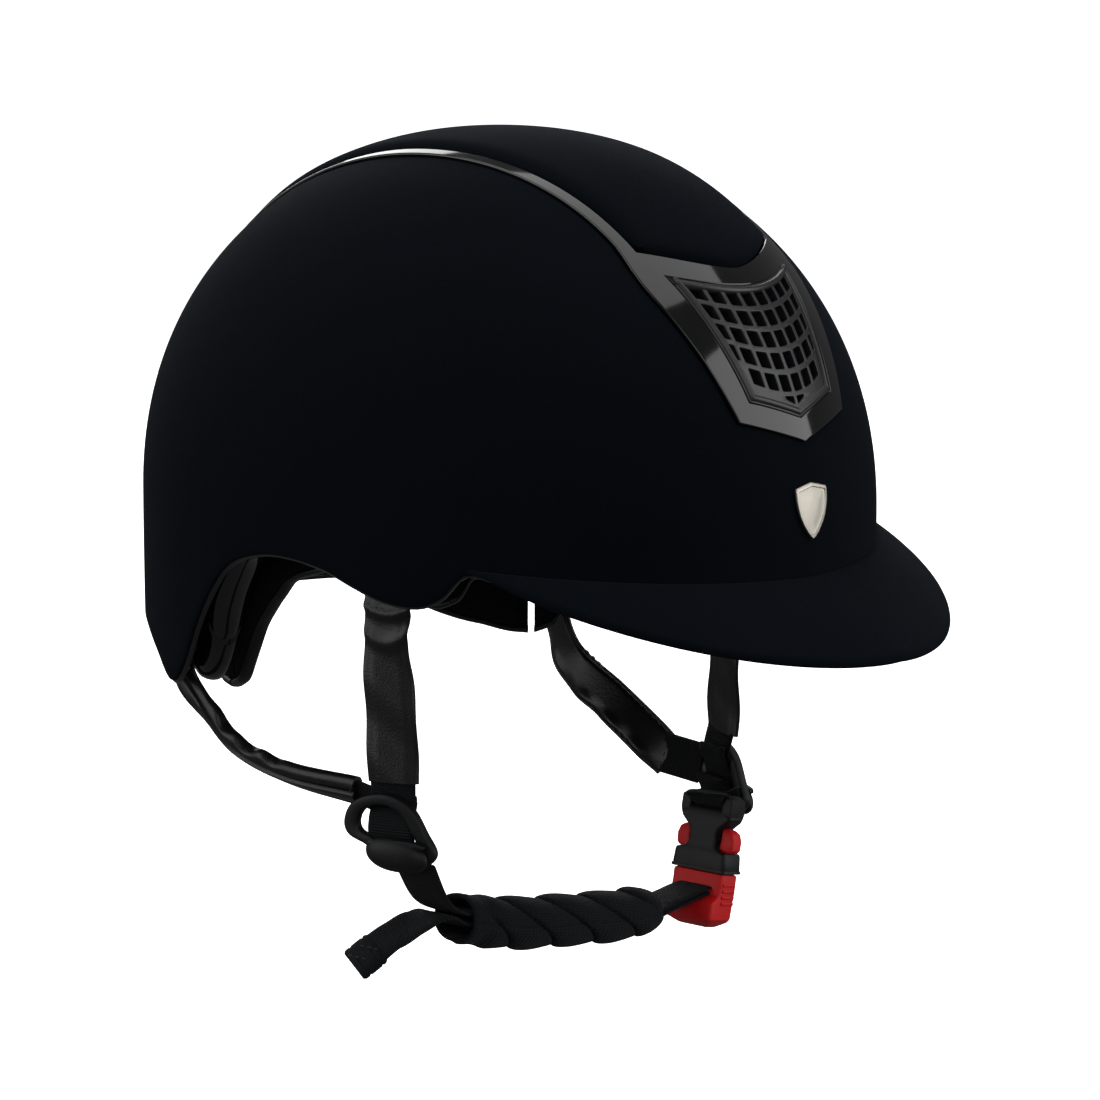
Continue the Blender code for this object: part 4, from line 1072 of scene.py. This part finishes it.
def makeRearStrap(side):
    look = {"count": 120, "right": 0.0046, "left": 0.0024}
    sign = cheek(side)[0]
    turn = sign * math.radians(harness["rearAnchor"])
    depth = harness["rearLayer"]
    base = (sidePoint(turn - 0.1, -0.05, depth) - sidePoint(turn + 0.1, -0.05, depth)).normalized() * sign
    fold, end = Vector((sign * 0.45, 0.10, 0.88)), Vector((sign * 0.20, -0.22, 0.95))
    points = [sidePoint(turn, -0.0440, depth), sidePoint(turn, -0.0565, depth + 0.0006)]
    points += [place(sign * out, ahead, above) for out, ahead, above in harness["rearRoute"][side]]
    unfold = Vector((-sign * 0.2, -0.98, 0.0))  # the strap shows its face as it leaves the shell
    sides = [base.lerp(unfold, 0.4), unfold, unfold.lerp(fold, 0.35), unfold.lerp(fold, 0.8), fold, end]

    def tube(share, x, upper, w, h):  # folded over itself: a lengthwise crease and a gathered edge
        swell = 0.30 + 0.70 * ease((share - 0.12) * 4)
        narrow = smooth([(0, 0.62), (0.12, 0.60), (0.3, 0.50), (0.65, 0.55), (1, 0.64)], share)
        crease = 0.0016 * math.exp(-((x - 0.10) / 0.10) ** 2) * upper
        roll = (0.0007 * math.cos(x * 3.0) if x < 0.1 else 0.0003) * upper
        gather = 0.0011 * math.sin(share * 46) * ease((share - 0.2) * 5) * ease((0.72 - share) * 8)
        return w * narrow + gather * max(0.0, x - 0.55) * 2, (h - crease + roll) * swell

    def flat(share, x, upper, w, h):  # hemmed along both edges, a little slack along the lower one
        hem = -0.0004 * math.exp(-((abs(x) - 0.82) / 0.05) ** 2) * upper
        slack = 0.0006 * math.sin(share * 34) * ease((-x - 0.3) * 2)
        return w, h + hem + slack

    shape, power = (tube, 4) if side == "right" else (flat, 8)
    sleeve = band(points, sides, look["count"], harness["rearWidth"], look[side], shape, 26, power)
    makePiece("rearStrap" + side.title(), [sleeve], "leatherette", ["rear_strap_" + side])
    threads = []
    lift = look[side] / 2 - 0.0001
    for row in ((-1, 1) if side == "left" else ()):
        for face in (lift, -lift):
            threads += stitchRun(points[2:], sides[2:], row * harness["rearWidth"] * 0.43, face)
    back = (points[-2] - points[-1]).normalized()
    close = points[-1] + back * 0.0016
    share = 0.44 if side == "left" else 0.28
    seam = [close + end * harness["rearWidth"] * share * s for s in (-1, 0, 1)]
    for face in (1, -1):
        threads += stitchRun(seam, [back] * 3, 0.0, face * (lift if side == "left" else 0.0019), 0.0024)
    makePiece("rearStrapStitch" + side.title(), threads, "leatherette", finish=threadLook)
    out, ahead, above = harness["rearTuck"][side]
    tuck, start = place(sign * out, ahead, above), points[-1] + back * 0.0030
    makePiece("rearWebbing" + side.title(),
              [band([start, start.lerp(tuck, 0.5), tuck], [end, end, end], 24,
                    harness["webbingWidth"] * (0.94 if side == "left" else 0.58), harness["webbingThick"])],
              "webbing", ["rear_webbing_" + side])


def makeRivets(side):
    look = {"radius": 0.0036}
    sign = 1 if side == "left" else -1
    for title in ("front", "rear"):
        node = f"strap_rivet_{title}_{side}"
        low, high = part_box(node)
        centre = (low + high) / 2
        turn = sign * math.radians(harness[title + "Anchor"])
        inward = -Vector((math.sin(turn), -math.cos(turn), 0))
        step, rise = inward.cross(Vector((0, 0, 1))), Vector((0, 0, 1))
        rows = []
        for size, lift in ((1.0, -0.0003), (1.04, 0.0000), (1.0, 0.0003), (0.86, 0.00055), (0.66, 0.0007),
                           (0.40, 0.0008), (0.34, 0.00055), (0.12, 0.0005)):
            reach = look["radius"] * size
            rows.append([centre + inward * lift + (step * math.cos(t) + rise * math.sin(t)) * reach
                         for t in around(32)])
        makePiece("rivet" + title.title() + side.title(), [patch(rows, loop=True, fill=True)], "steel",
                  [node], sharp=40)


ringShape = {"thick": 0.0038, "opening": 0.62,
             "outline": [(-16.6, 1.9), (-13.8, 7.8), (-6.7, 11.3), (1.4, 11.6), (8.5, 7.8), (13.4, 0.0),
                         (16.6, -6.3), (12.7, -10.7), (3.9, -11.6), (-3.2, -9.4), (-8.1, -5.3),
                         (-14.8, -2.5)]}


def closedCurve(knots, steps):  # smooth closed line through (x, y) knots
    line = []
    for k in range(len(knots)):
        a, b, c, d = [Vector(knots[(k + j) % len(knots)]) for j in (-1, 0, 1, 2)]
        for t in spread(0, 1, steps + 1)[:-1]:
            line.append(0.5 * (2 * b + (c - a) * t + (2 * a - 5 * b + 4 * c - d) * t * t
                               + (3 * b - a - 3 * c + d) * t ** 3))
    return line


def makeRing(side):
    look = {"width": 0.0109, "height": 0.0108, "drop": 0.0042, "tilt": 0.10, "pinHalf": 0.0068,
            "pinRadius": 0.0009}
    _, normal, across = cheek(side)
    centre, rise = ringCentre(side), Vector((0, 0, 1))
    half = ringShape["thick"] / 2
    rows = []
    for w, u in closedCurve(ringShape["outline"], 9):
        outer = Vector((w, u)) / 1000
        inner = Vector((w * ringShape["opening"] - 1.0, u * ringShape["opening"] + 0.8)) / 1000
        middle, reach = (outer + inner) / 2, (outer - inner) / 2
        row = []
        for t in around(20):
            x, y = squared(math.cos(t), 0.55), squared(math.sin(t), 0.55)
            spot = middle + reach * x
            bow = 0.0008 * (1 - (w / 16.6) ** 2)
            row.append(centre + across * spot.x + rise * spot.y + normal * (half * y + bow))
        rows.append(row)
    makePiece("divider" + side.title(), [patch(rows, loop=True, ring=True)], "harness_plastic",
              ["divider_" + side])

    hinge = centre + across * 0.0035 - rise * 0.0030 + normal * 0.0036
    rows = []
    for size, lift in ((0.90, -0.0016), (1.0, -0.0012), (1.0, -0.0003), (0.97, 0.0003), (0.90, 0.0010),
                       (0.76, 0.0018), (0.56, 0.0024), (0.32, 0.0027), (0.1, 0.0028)):
        rows.append([hinge + across * look["width"] * size * squared(math.cos(t), 0.82)
                     + rise * (look["height"] / 2 * size * squared(math.sin(t), 0.9)
                               - look["drop"] - look["tilt"] * look["width"] * size * math.cos(t))
                     + normal * lift for t in around(48)])
    hood = []
    for size, lift in ((0.92, -0.0013), (1.0, -0.0008), (1.0, 0.0006), (0.93, 0.0011), (0.5, 0.0012)):
        hood.append([hinge + across * look["width"] * 0.96 * size * squared(math.cos(t), 0.5)
                     + rise * (-0.0008 + 0.0017 * size * math.sin(t)) + normal * lift
                     for t in around(36)])
    makePiece("dividerCam" + side.title(), [patch(part, loop=True, fill=True) for part in (rows, hood)],
              "harness_plastic", ["divider_cam_" + side], body="cam_" + side)
    pin = []
    for w, size in ((-1.07, 0.5), (-1.06, 0.9), (-1.03, 1.0), (1.03, 1.0), (1.06, 0.9), (1.07, 0.5)):
        pin.append([hinge + across * look["pinHalf"] * w
                    + (rise * math.sin(t) + normal * math.cos(t)) * look["pinRadius"] * size
                    for t in around(16)])
    makePiece("camPin" + side.title(), [patch(pin, loop=True, fill=True)], "steel", ["cam_pin_" + side],
              sharp=35)


buckle = {"mouth": (0.0685, 0.0290, -0.1330), "lean": math.radians(10.2)}
fore = Vector((0, -1, 0))


def buckleFrame():  # mouth, down the buckle, across it, out of its face
    lean = buckle["lean"]
    return (place(*buckle["mouth"]), Vector((-math.sin(lean), 0, -math.cos(lean))), fore,
            Vector((math.cos(lean), 0, -math.sin(lean))))


def roundBox(centre, across, face, half, deep, soft=0.20, count=44):  # a rounded rectangle of points
    row = []
    for t in around(count):
        x, y = squared(math.cos(t), soft), squared(math.sin(t), soft)
        row.append(centre + across * half * x + face * deep * y)
    return row


def makeBuckleFemale():
    mouth, down, across, face = buckleFrame()

    def loft(steps, offset=0.0):
        return patch([roundBox(mouth + down * d / 1000 + across * offset, across, face, w / 1000, t / 1000)
                      for d, w, t in steps], loop=True, fill=True)

    # plates over the socket, narrow beside the side windows, flared at the mouth
    body = loft([(-21.6, 9.4, 2.4), (-21.2, 10.2, 3.2), (-20.2, 10.9, 3.8), (-18.2, 11.0, 4.0),
                 (-17.0, 10.2, 4.1), (-15.6, 8.4, 4.2), (-14.2, 6.8, 4.2), (-12.4, 6.0, 4.2),
                 (-9.0, 6.0, 4.2), (-7.8, 7.0, 4.3), (-6.9, 9.2, 4.5), (-6.4, 11.0, 4.6), (-5.6, 11.4, 4.7),
                 (-1.0, 11.8, 4.8), (-0.3, 11.6, 4.7), (0.0, 11.1, 4.3)])
    bar = loft([(-26.2, 9.2, 1.6), (-25.9, 10.2, 2.6), (-25.0, 11.0, 3.3), (-23.8, 11.1, 3.4),
                (-23.0, 10.8, 3.0), (-22.7, 10.2, 2.2)])
    posts = [loft([(-25.2, 1.5, 3.0), (-24.6, 2.1, 3.7), (-20.4, 2.1, 4.0), (-18.6, 1.8, 3.8),
                   (-17.8, 1.0, 3.2)], offset=w * 0.0091) for w in (-1, 1)]
    rim = [roundBox(mouth + down * d, across, face, 0.0114 + o, 0.0043 + o)
           for d, o in ((-0.0010, 0.0), (-0.0008, 0.0007), (0.0001, 0.0008), (0.0003, 0.0003),
                        (0.0001, -0.0006))]
    makePiece("buckleFemale", [body, bar, patch(rim, loop=True)] + posts, "harness_plastic",
              ["buckle_female"], sharp=34)


def makeBuckleMale():
    mouth, down, across, face = buckleFrame()
    rows = []
    for d, w, t, lean in ((0.5, 10.2, 3.6, 0), (0.8, 10.9, 4.2, 0), (1.4, 11.1, 4.4, 0),
                          (5.0, 11.1, 4.4, 0), (8.0, 11.0, 4.6, -0.2), (9.6, 11.0, 5.4, -1.1),
                          (10.6, 11.0, 6.2, -1.9),
                          (16.0, 10.8, 6.0, -1.9), (17.2, 9.9, 5.2, -1.8), (19.0, 6.8, 2.6, -1.4),
                          (19.3, 5.8, 1.8, -1.3)):
        rows.append(roundBox(mouth + (down * d + face * lean) / 1000, across, face, w / 1000, t / 1000))
    tongue = [roundBox(mouth + down * d / 1000, across, face, w / 1000, 0.0017, 0.5)
              for d, w in ((0.9, 3.5), (-11.0, 3.4), (-12.0, 2.8))]
    ribs = []
    for k in range(4):  # grip ribs on both sides of the body
        for sign in (-1, 1):
            centre = mouth + down * (0.0042 + 0.0021 * k) + across * sign * 0.0110
            ribs.append(patch([roundBox(centre + face * z, down, across, 0.00055, 0.0005, 0.8, 10)
                               for z in (-0.0030, 0.0030)], loop=True, fill=True))
    makePiece("buckleMale", [patch(rows, loop=True, fill=True), patch(tongue, loop=True, fill=True)] + ribs,
              "red_plastic", ["buckle_male"], body="chin_strap", sharp=34)
    for title, w in (("front", 1), ("rear", -1)):
        rows = []
        for d, offset, half, deep in ((0.4, 7.2, 1.3, 1.6), (-3.0, 7.3, 1.2, 1.5), (-6.0, 7.4, 1.3, 1.6),
                                      (-6.9, 8.9, 2.7, 2.3), (-7.8, 9.5, 3.0, 2.5), (-11.0, 9.9, 2.8, 2.5),
                                      (-13.4, 9.4, 2.4, 2.3), (-14.4, 8.6, 1.6, 1.8), (-14.8, 8.0, 0.8, 1.0)):
            rows.append(roundBox(mouth + down * d / 1000 + across * w * offset / 1000, across, face,
                                 half / 1000, deep / 1000, 0.3, 28))
        makePiece("releaseArm" + title.title(), [patch(rows, loop=True, fill=True)], "red_plastic",
                  ["release_arm_" + title], body="arm_" + title, sharp=34)


def makeBuckleWebbing():
    mouth, down, across, face = buckleFrame()
    ring = ringCentre("left")
    _, outward, width = cheek("left")
    top = ring - Vector((0, 0, 0.0040)) - outward * 0.0012
    bar = mouth - down * 0.0243
    path = [top + Vector((0, 0, 0.0040)) - outward * 0.0030, top, top.lerp(bar, 0.5) + face * 0.0010]
    layers = []
    behind = [p - face * 0.0016 for p in path]
    for sign, start in ((1, path), (-1, behind)):  # round the bar from both sides
        wrapped = start + [bar + face * sign * reach + down * fall
                           for reach, fall in ((0.0042, -0.0010), (0.0044, 0.0006), (0.0020, 0.0022))]
        layers.append(band(wrapped, [width] + [fore] * 5, 44, harness["webbingWidth"],
                           harness["webbingThick"]))
    makePiece("buckleWebbing", layers, "webbing", ["buckle_webbing"])


padEnds = {"left": place(0.0445, 0.0240, -0.1435), "right": place(-0.0490, 0.0240, -0.1305),
           "middle": place(0.0, 0.0240, -0.1395)}


def padLine(count):
    left, right, middle = padEnds["left"], padEnds["right"], padEnds["middle"]
    return route([left, left.lerp(middle, 0.5) + Vector((0, 0, -0.0006)), middle,
                  middle.lerp(right, 0.5) + Vector((0, 0, -0.0012)), right], count)


def makeChinPad():
    look = {"half": 0.0088, "tall": 0.0074, "seams": 4.6, "slope": 0.62, "groove": 0.0011, "puff": 0.0012,
            "count": 260, "around": 80}
    line = padLine(look["count"])
    rows, flow, along = [], [], 0.0
    mouthRows, mouthFlow = [], []
    for k, spot in enumerate(line):
        share = k / (look["count"] - 1)
        ahead = (line[min(k + 1, len(line) - 1)] - line[max(k - 1, 0)]).normalized()
        up = fore.cross(ahead).normalized()
        up *= 1 if up.z > 0 else -1
        along += (spot - line[k - 1]).length * 1000 if k else 0.0
        shut = min(1.0, 0.74 + 0.26 * math.sqrt(min(1.0, share / 0.045)))  # closed end at the buckle
        flare = 1 + 0.07 * ease((share - 0.90) * 10)  # open end at the divider
        row, marks = [], []
        for t in around(look["around"]):
            phase = (share * look["seams"] - math.sin(t) * look["slope"] - 0.06) % 1
            near = min(phase, 1 - phase)
            fade = ease((share - 0.03) * 12) * ease((0.95 - share) * 12)
            groove = look["groove"] * math.exp(-(near / 0.030) ** 2) * fade
            swell = look["puff"] * math.sin(math.pi * (1 - phase) ** 0.65) * fade
            lap = 0.0009 * ease((math.sin(t - 3.9) - 0.72) * 6)  # the sleeve's closing edge underneath
            radial = fore * look["half"] * math.cos(t) + up * look["tall"] * math.sin(t)
            row.append(spot + radial * shut * flare + radial.normalized() * (swell - groove + lap))
            marks.append((along, t * 8.1))
        rows.append(row)
        flow.append(marks)
    last, spot = rows[-1], line[-1]
    ahead = (line[-1] - line[-2]).normalized()
    for push, size in ((0.0007, 0.99), (0.0011, 0.95), (0.0011, 0.90), (0.0006, 0.85), (-0.0006, 0.80),
                       (-0.0040, 0.76), (-0.0085, 0.72)):  # rolled lip and the inside of the sleeve
        mouthRows.append([spot + (p - spot) * size + ahead * push for p in last])
        mouthFlow.append([(along + push * 1000, m[1]) for m in flow[-1]])
    closed = [[line[0] + (p - line[0]) * s - ahead * b for p in rows[0]]
              for s, b in ((0.4, 0.0004), (0.85, 0.0002))]
    pad = makePiece("chinPad", [patch(closed + rows + mouthRows, loop=True, fill=True,
                                      flow=[flow[0]] * 2 + flow + mouthFlow)], "pad_mesh", ["chin_pad"],
                    body="chin_strap", sharp=70)


def makeChinWebbing():
    mouth, down, _, face = buckleFrame()
    width, thick = harness["webbingWidth"], harness["webbingThick"]
    joint = mouth + down * 0.0060 - face * 0.0010
    left = [joint + face * 0.0006, joint - face * 0.0030 - down * 0.0004,
            joint.lerp(padEnds["left"], 0.62) - down * 0.0012,
            padEnds["left"] + Vector((0.0010, 0, 0.0006)), padEnds["left"] - Vector((0.0060, 0, 0))]
    layers = [band(left, [fore] * 5, 50, width, thick)]
    layers.append(band([p + down * 0.0019 for p in left[:4]], [fore] * 4, 36, width * 0.97, thick))
    makePiece("chinWebbingLeft", layers, "webbing", ["chin_webbing_left"], body="chin_strap")

    _, normal, turned = cheek("right")
    leave = ringCentre("right") + turned * 0.0085 - Vector((0, 0, 0.0110))
    end = padEnds["right"] + Vector((0.0060, 0, 0.0010))
    right = [leave + Vector((0, 0, 0.0012)) + normal * 0.0004,
             leave.lerp(padEnds["right"], 0.5) + Vector((-0.002, 0, -0.002)),
             padEnds["right"] + Vector((-0.0022, 0, 0.0024)), end]
    sides = [turned, turned.lerp(fore, 0.5), fore, fore]
    makePiece("chinWebbingRight", [band(right, sides, 54, width, thick)], "webbing", ["chin_webbing_right"],
              body="chin_strap")


def makeTail():
    width, thick = harness["webbingWidth"], harness["webbingThick"]
    points = [padEnds["right"] + Vector((0.0060, 0, -0.0022)),
              padEnds["right"] + Vector((-0.0028, 0, -0.0008)), place(-0.0600, 0.0250, -0.1278),
              place(-0.0664, 0.0222, -0.1296), place(-0.0712, 0.0172, -0.1336),
              place(-0.0754, 0.0132, -0.1382)]
    makePiece("webbingTail", [band(points, [fore] * 6, 70, width, thick,
                                   lambda s, x, top, w, h: (w, h + 0.0004 * math.sin(s * 11 + x)))],
              "webbing", ["webbing_tail"], body="chin_strap")
    start, end = points[-1] + Vector((0.0006, -0.0004, 0.0006)), place(-0.0812, 0.0091, -0.1436)

    def folded(share, x, top, w, h):  # three layers, rounded where the webbing turns back on itself
        roundEnd = math.sqrt(max(0.02, 1 - max(0.0, (share - 0.86) / 0.14) ** 2))
        start = math.sqrt(max(0.02, 1 - max(0.0, (0.14 - share) / 0.14) ** 2))
        seam = 0.0005 * (math.exp(-((share - 0.22) / 0.03) ** 2) + math.exp(-((share - 0.72) / 0.03) ** 2))
        return w, h * min(roundEnd, start) - top * seam

    fold = band([start, start.lerp(end, 0.5), end], [fore] * 3, 34, width * 1.04, 0.0044, folded)
    makePiece("tailFold", [fold], "webbing", ["tail_fold"], body="chin_strap", sharp=60)
    threads = []
    ahead = (end - start).normalized()
    for share in (0.22, 0.72):
        centre = start.lerp(end, share)
        line = [centre + fore * width * 0.42 * s for s in (-1, 0, 1)]
        for lift in (0.0021, -0.0021):
            threads += stitchRun(line, [ahead] * 3, 0.0, lift, 0.0022)
    makePiece("tailFoldStitch", threads, "webbing", body="chin_strap", finish=threadLook)


def makeStage():  # a wide pale floor that curves up far away
    look = {"drop": 0.10, "flat": 3.0, "far": 8.0, "rise": 8.0, "floor": (0.93, 0.93, 0.935), "glow": 1.0,
            "around": 64, "rings": 12}
    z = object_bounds()[0].z - look["drop"]
    wide = look["around"]
    points = [(0, 0, z)]
    for ring in range(1, look["rings"] + 1):
        bend = max(0.0, (ring - 2) / (look["rings"] - 2)) * math.pi / 2
        radius = look["flat"] * min(1.0, ring / 2) + (look["far"] - look["flat"]) * math.sin(bend)
        height = z + look["rise"] * (1 - math.cos(bend))
        points += [(radius * math.cos(t), radius * math.sin(t), height) for t in around(wide)]
    faces = [(0, 1 + k, 1 + (k + 1) % wide) for k in range(wide)]
    for start in range(1, 1 + (look["rings"] - 1) * wide, wide):
        faces += [(start + k, start + wide + k, start + wide + (k + 1) % wide, start + (k + 1) % wide)
                  for k in range(wide)]
    mesh = bpy.data.meshes.new("studioFloor")
    mesh.from_pydata(points, [], faces)
    mesh.shade_smooth()
    floor = bpy.data.objects.new("studioFloor", mesh)
    bpy.context.scene.collection.objects.link(floor)
    paper = Finish("palePaper", {"Roughness": 0.9, "Specular IOR Level": 0.0,
                                 "Emission Color": (1, 1, 1, 1), "Emission Strength": look["glow"]})
    grain = paper.noise(400.0, 3.0)
    paper.tint(grain, look["floor"], tuple(c + 0.02 for c in look["floor"]))
    mesh.materials.append(paper.material)
    floor.visible_glossy = False  # black lacquer and suede stay deep
    floor.visible_diffuse = False
    floor.visible_shadow = False


cameraTurn = 46.66  # degrees from straight ahead to the camera


def makeLights():
    view = math.radians(cameraTurn)
    towards = Vector((-math.sin(view), -math.cos(view), 0))  # from the helmet to the camera
    right = Vector((math.cos(view), -math.sin(view), 0))
    up = Vector((0, 0, 1))
    lamps = {  # offsets to the right, up and towards the camera, size, power
        "keyBox": ((-1.7, 0.65, 0.5), (1.5, 2.0), 17.0),
        "fillBox": ((1.7, 0.45, 0.3), (1.2, 1.8), 16.0),
        "topBox": ((0.1, 2.0, -0.2), (2.6, 2.0), 26.0),
        "frontBox": ((0.4, 0.9, 2.4), (2.2, 1.2), 15.0),
        "backBox": ((-0.4, 0.9, -2.1), (2.2, 1.0), 18.0),
    }
    for name, (offset, size, power) in lamps.items():
        lamp = bpy.data.lights.new(name, "AREA")
        lamp.shape = "RECTANGLE"
        lamp.size, lamp.size_y = size
        lamp.energy = power
        holder = bpy.data.objects.new(name, lamp)
        holder.location = domeCentre + right * offset[0] + up * offset[1] + towards * offset[2]
        holder.rotation_euler = (domeCentre - holder.location).to_track_quat("-Z", "Y").to_euler()
        bpy.context.scene.collection.objects.link(holder)
    world = bpy.data.worlds.new("studioAir")
    world.use_nodes = True
    air = world.node_tree.nodes["Background"]
    air.inputs["Color"].default_value = (1.0, 1.0, 1.0, 1)
    air.inputs["Strength"].default_value = 0.12
    bpy.context.scene.world = world
    bpy.context.scene.view_settings.view_transform = "Standard"


def makeCamera():
    look = {"lift": 8.37, "distance": 1.6, "lens": 158.07, "shiftAcross": 0.0398, "shiftUp": -0.0491}
    turn, lift = math.radians(cameraTurn), math.radians(look["lift"])
    back = Vector((-math.sin(turn) * math.cos(lift), -math.cos(turn) * math.cos(lift), math.sin(lift)))
    data = bpy.data.cameras.new("studioCamera")
    data.sensor_width, data.lens = 36.0, look["lens"]
    data.shift_x, data.shift_y = look["shiftAcross"], look["shiftUp"]
    data.clip_start, data.clip_end = 0.05, 60.0
    holder = bpy.data.objects.new("studioCamera", data)
    holder.location = domeCentre + back * look["distance"]
    holder.rotation_euler = (-back).to_track_quat("-Z", "Y").to_euler()
    bpy.context.scene.collection.objects.link(holder)
    bpy.context.scene.camera = holder


makeShell()
makeShellLip()
makePanel()
makeTrimFrame()
makeGrille("frontGrille", "grille", "front_grille", 5)
makeGrille("rearGrille", "rearGrille", "rear_grille", 4)
makeBadge()
makePeak()
print("shell, frame and peak made")
makeEdgeBand()
makeLiner()
makeComfortPad("browPad", "brow_pad", -57.8, 57.8, 0.018, 5)
makeComfortPad("sidePadLeft", "side_pad_left", 58.0, 127, 0.016, 0)
makeComfortPad("sidePadRight", "side_pad_right", -58.0, -127, 0.016, 0)
makeComfortPad("napePad", "nape_pad", 128.5, 231.5, 0.010, 3)
makeCrownPad()
print("liner and pads made")
for cheekSide in ("left", "right"):
    makeFrontStrap(cheekSide)
    makeRearStrap(cheekSide)
    makeRivets(cheekSide)
    makeRing(cheekSide)
makeBuckleFemale()
makeBuckleMale()
makeBuckleWebbing()
makeChinPad()
makeChinWebbing()
makeTail()
print("harness made")
makeStage()
makeLights()
makeCamera()
print("scene ready")
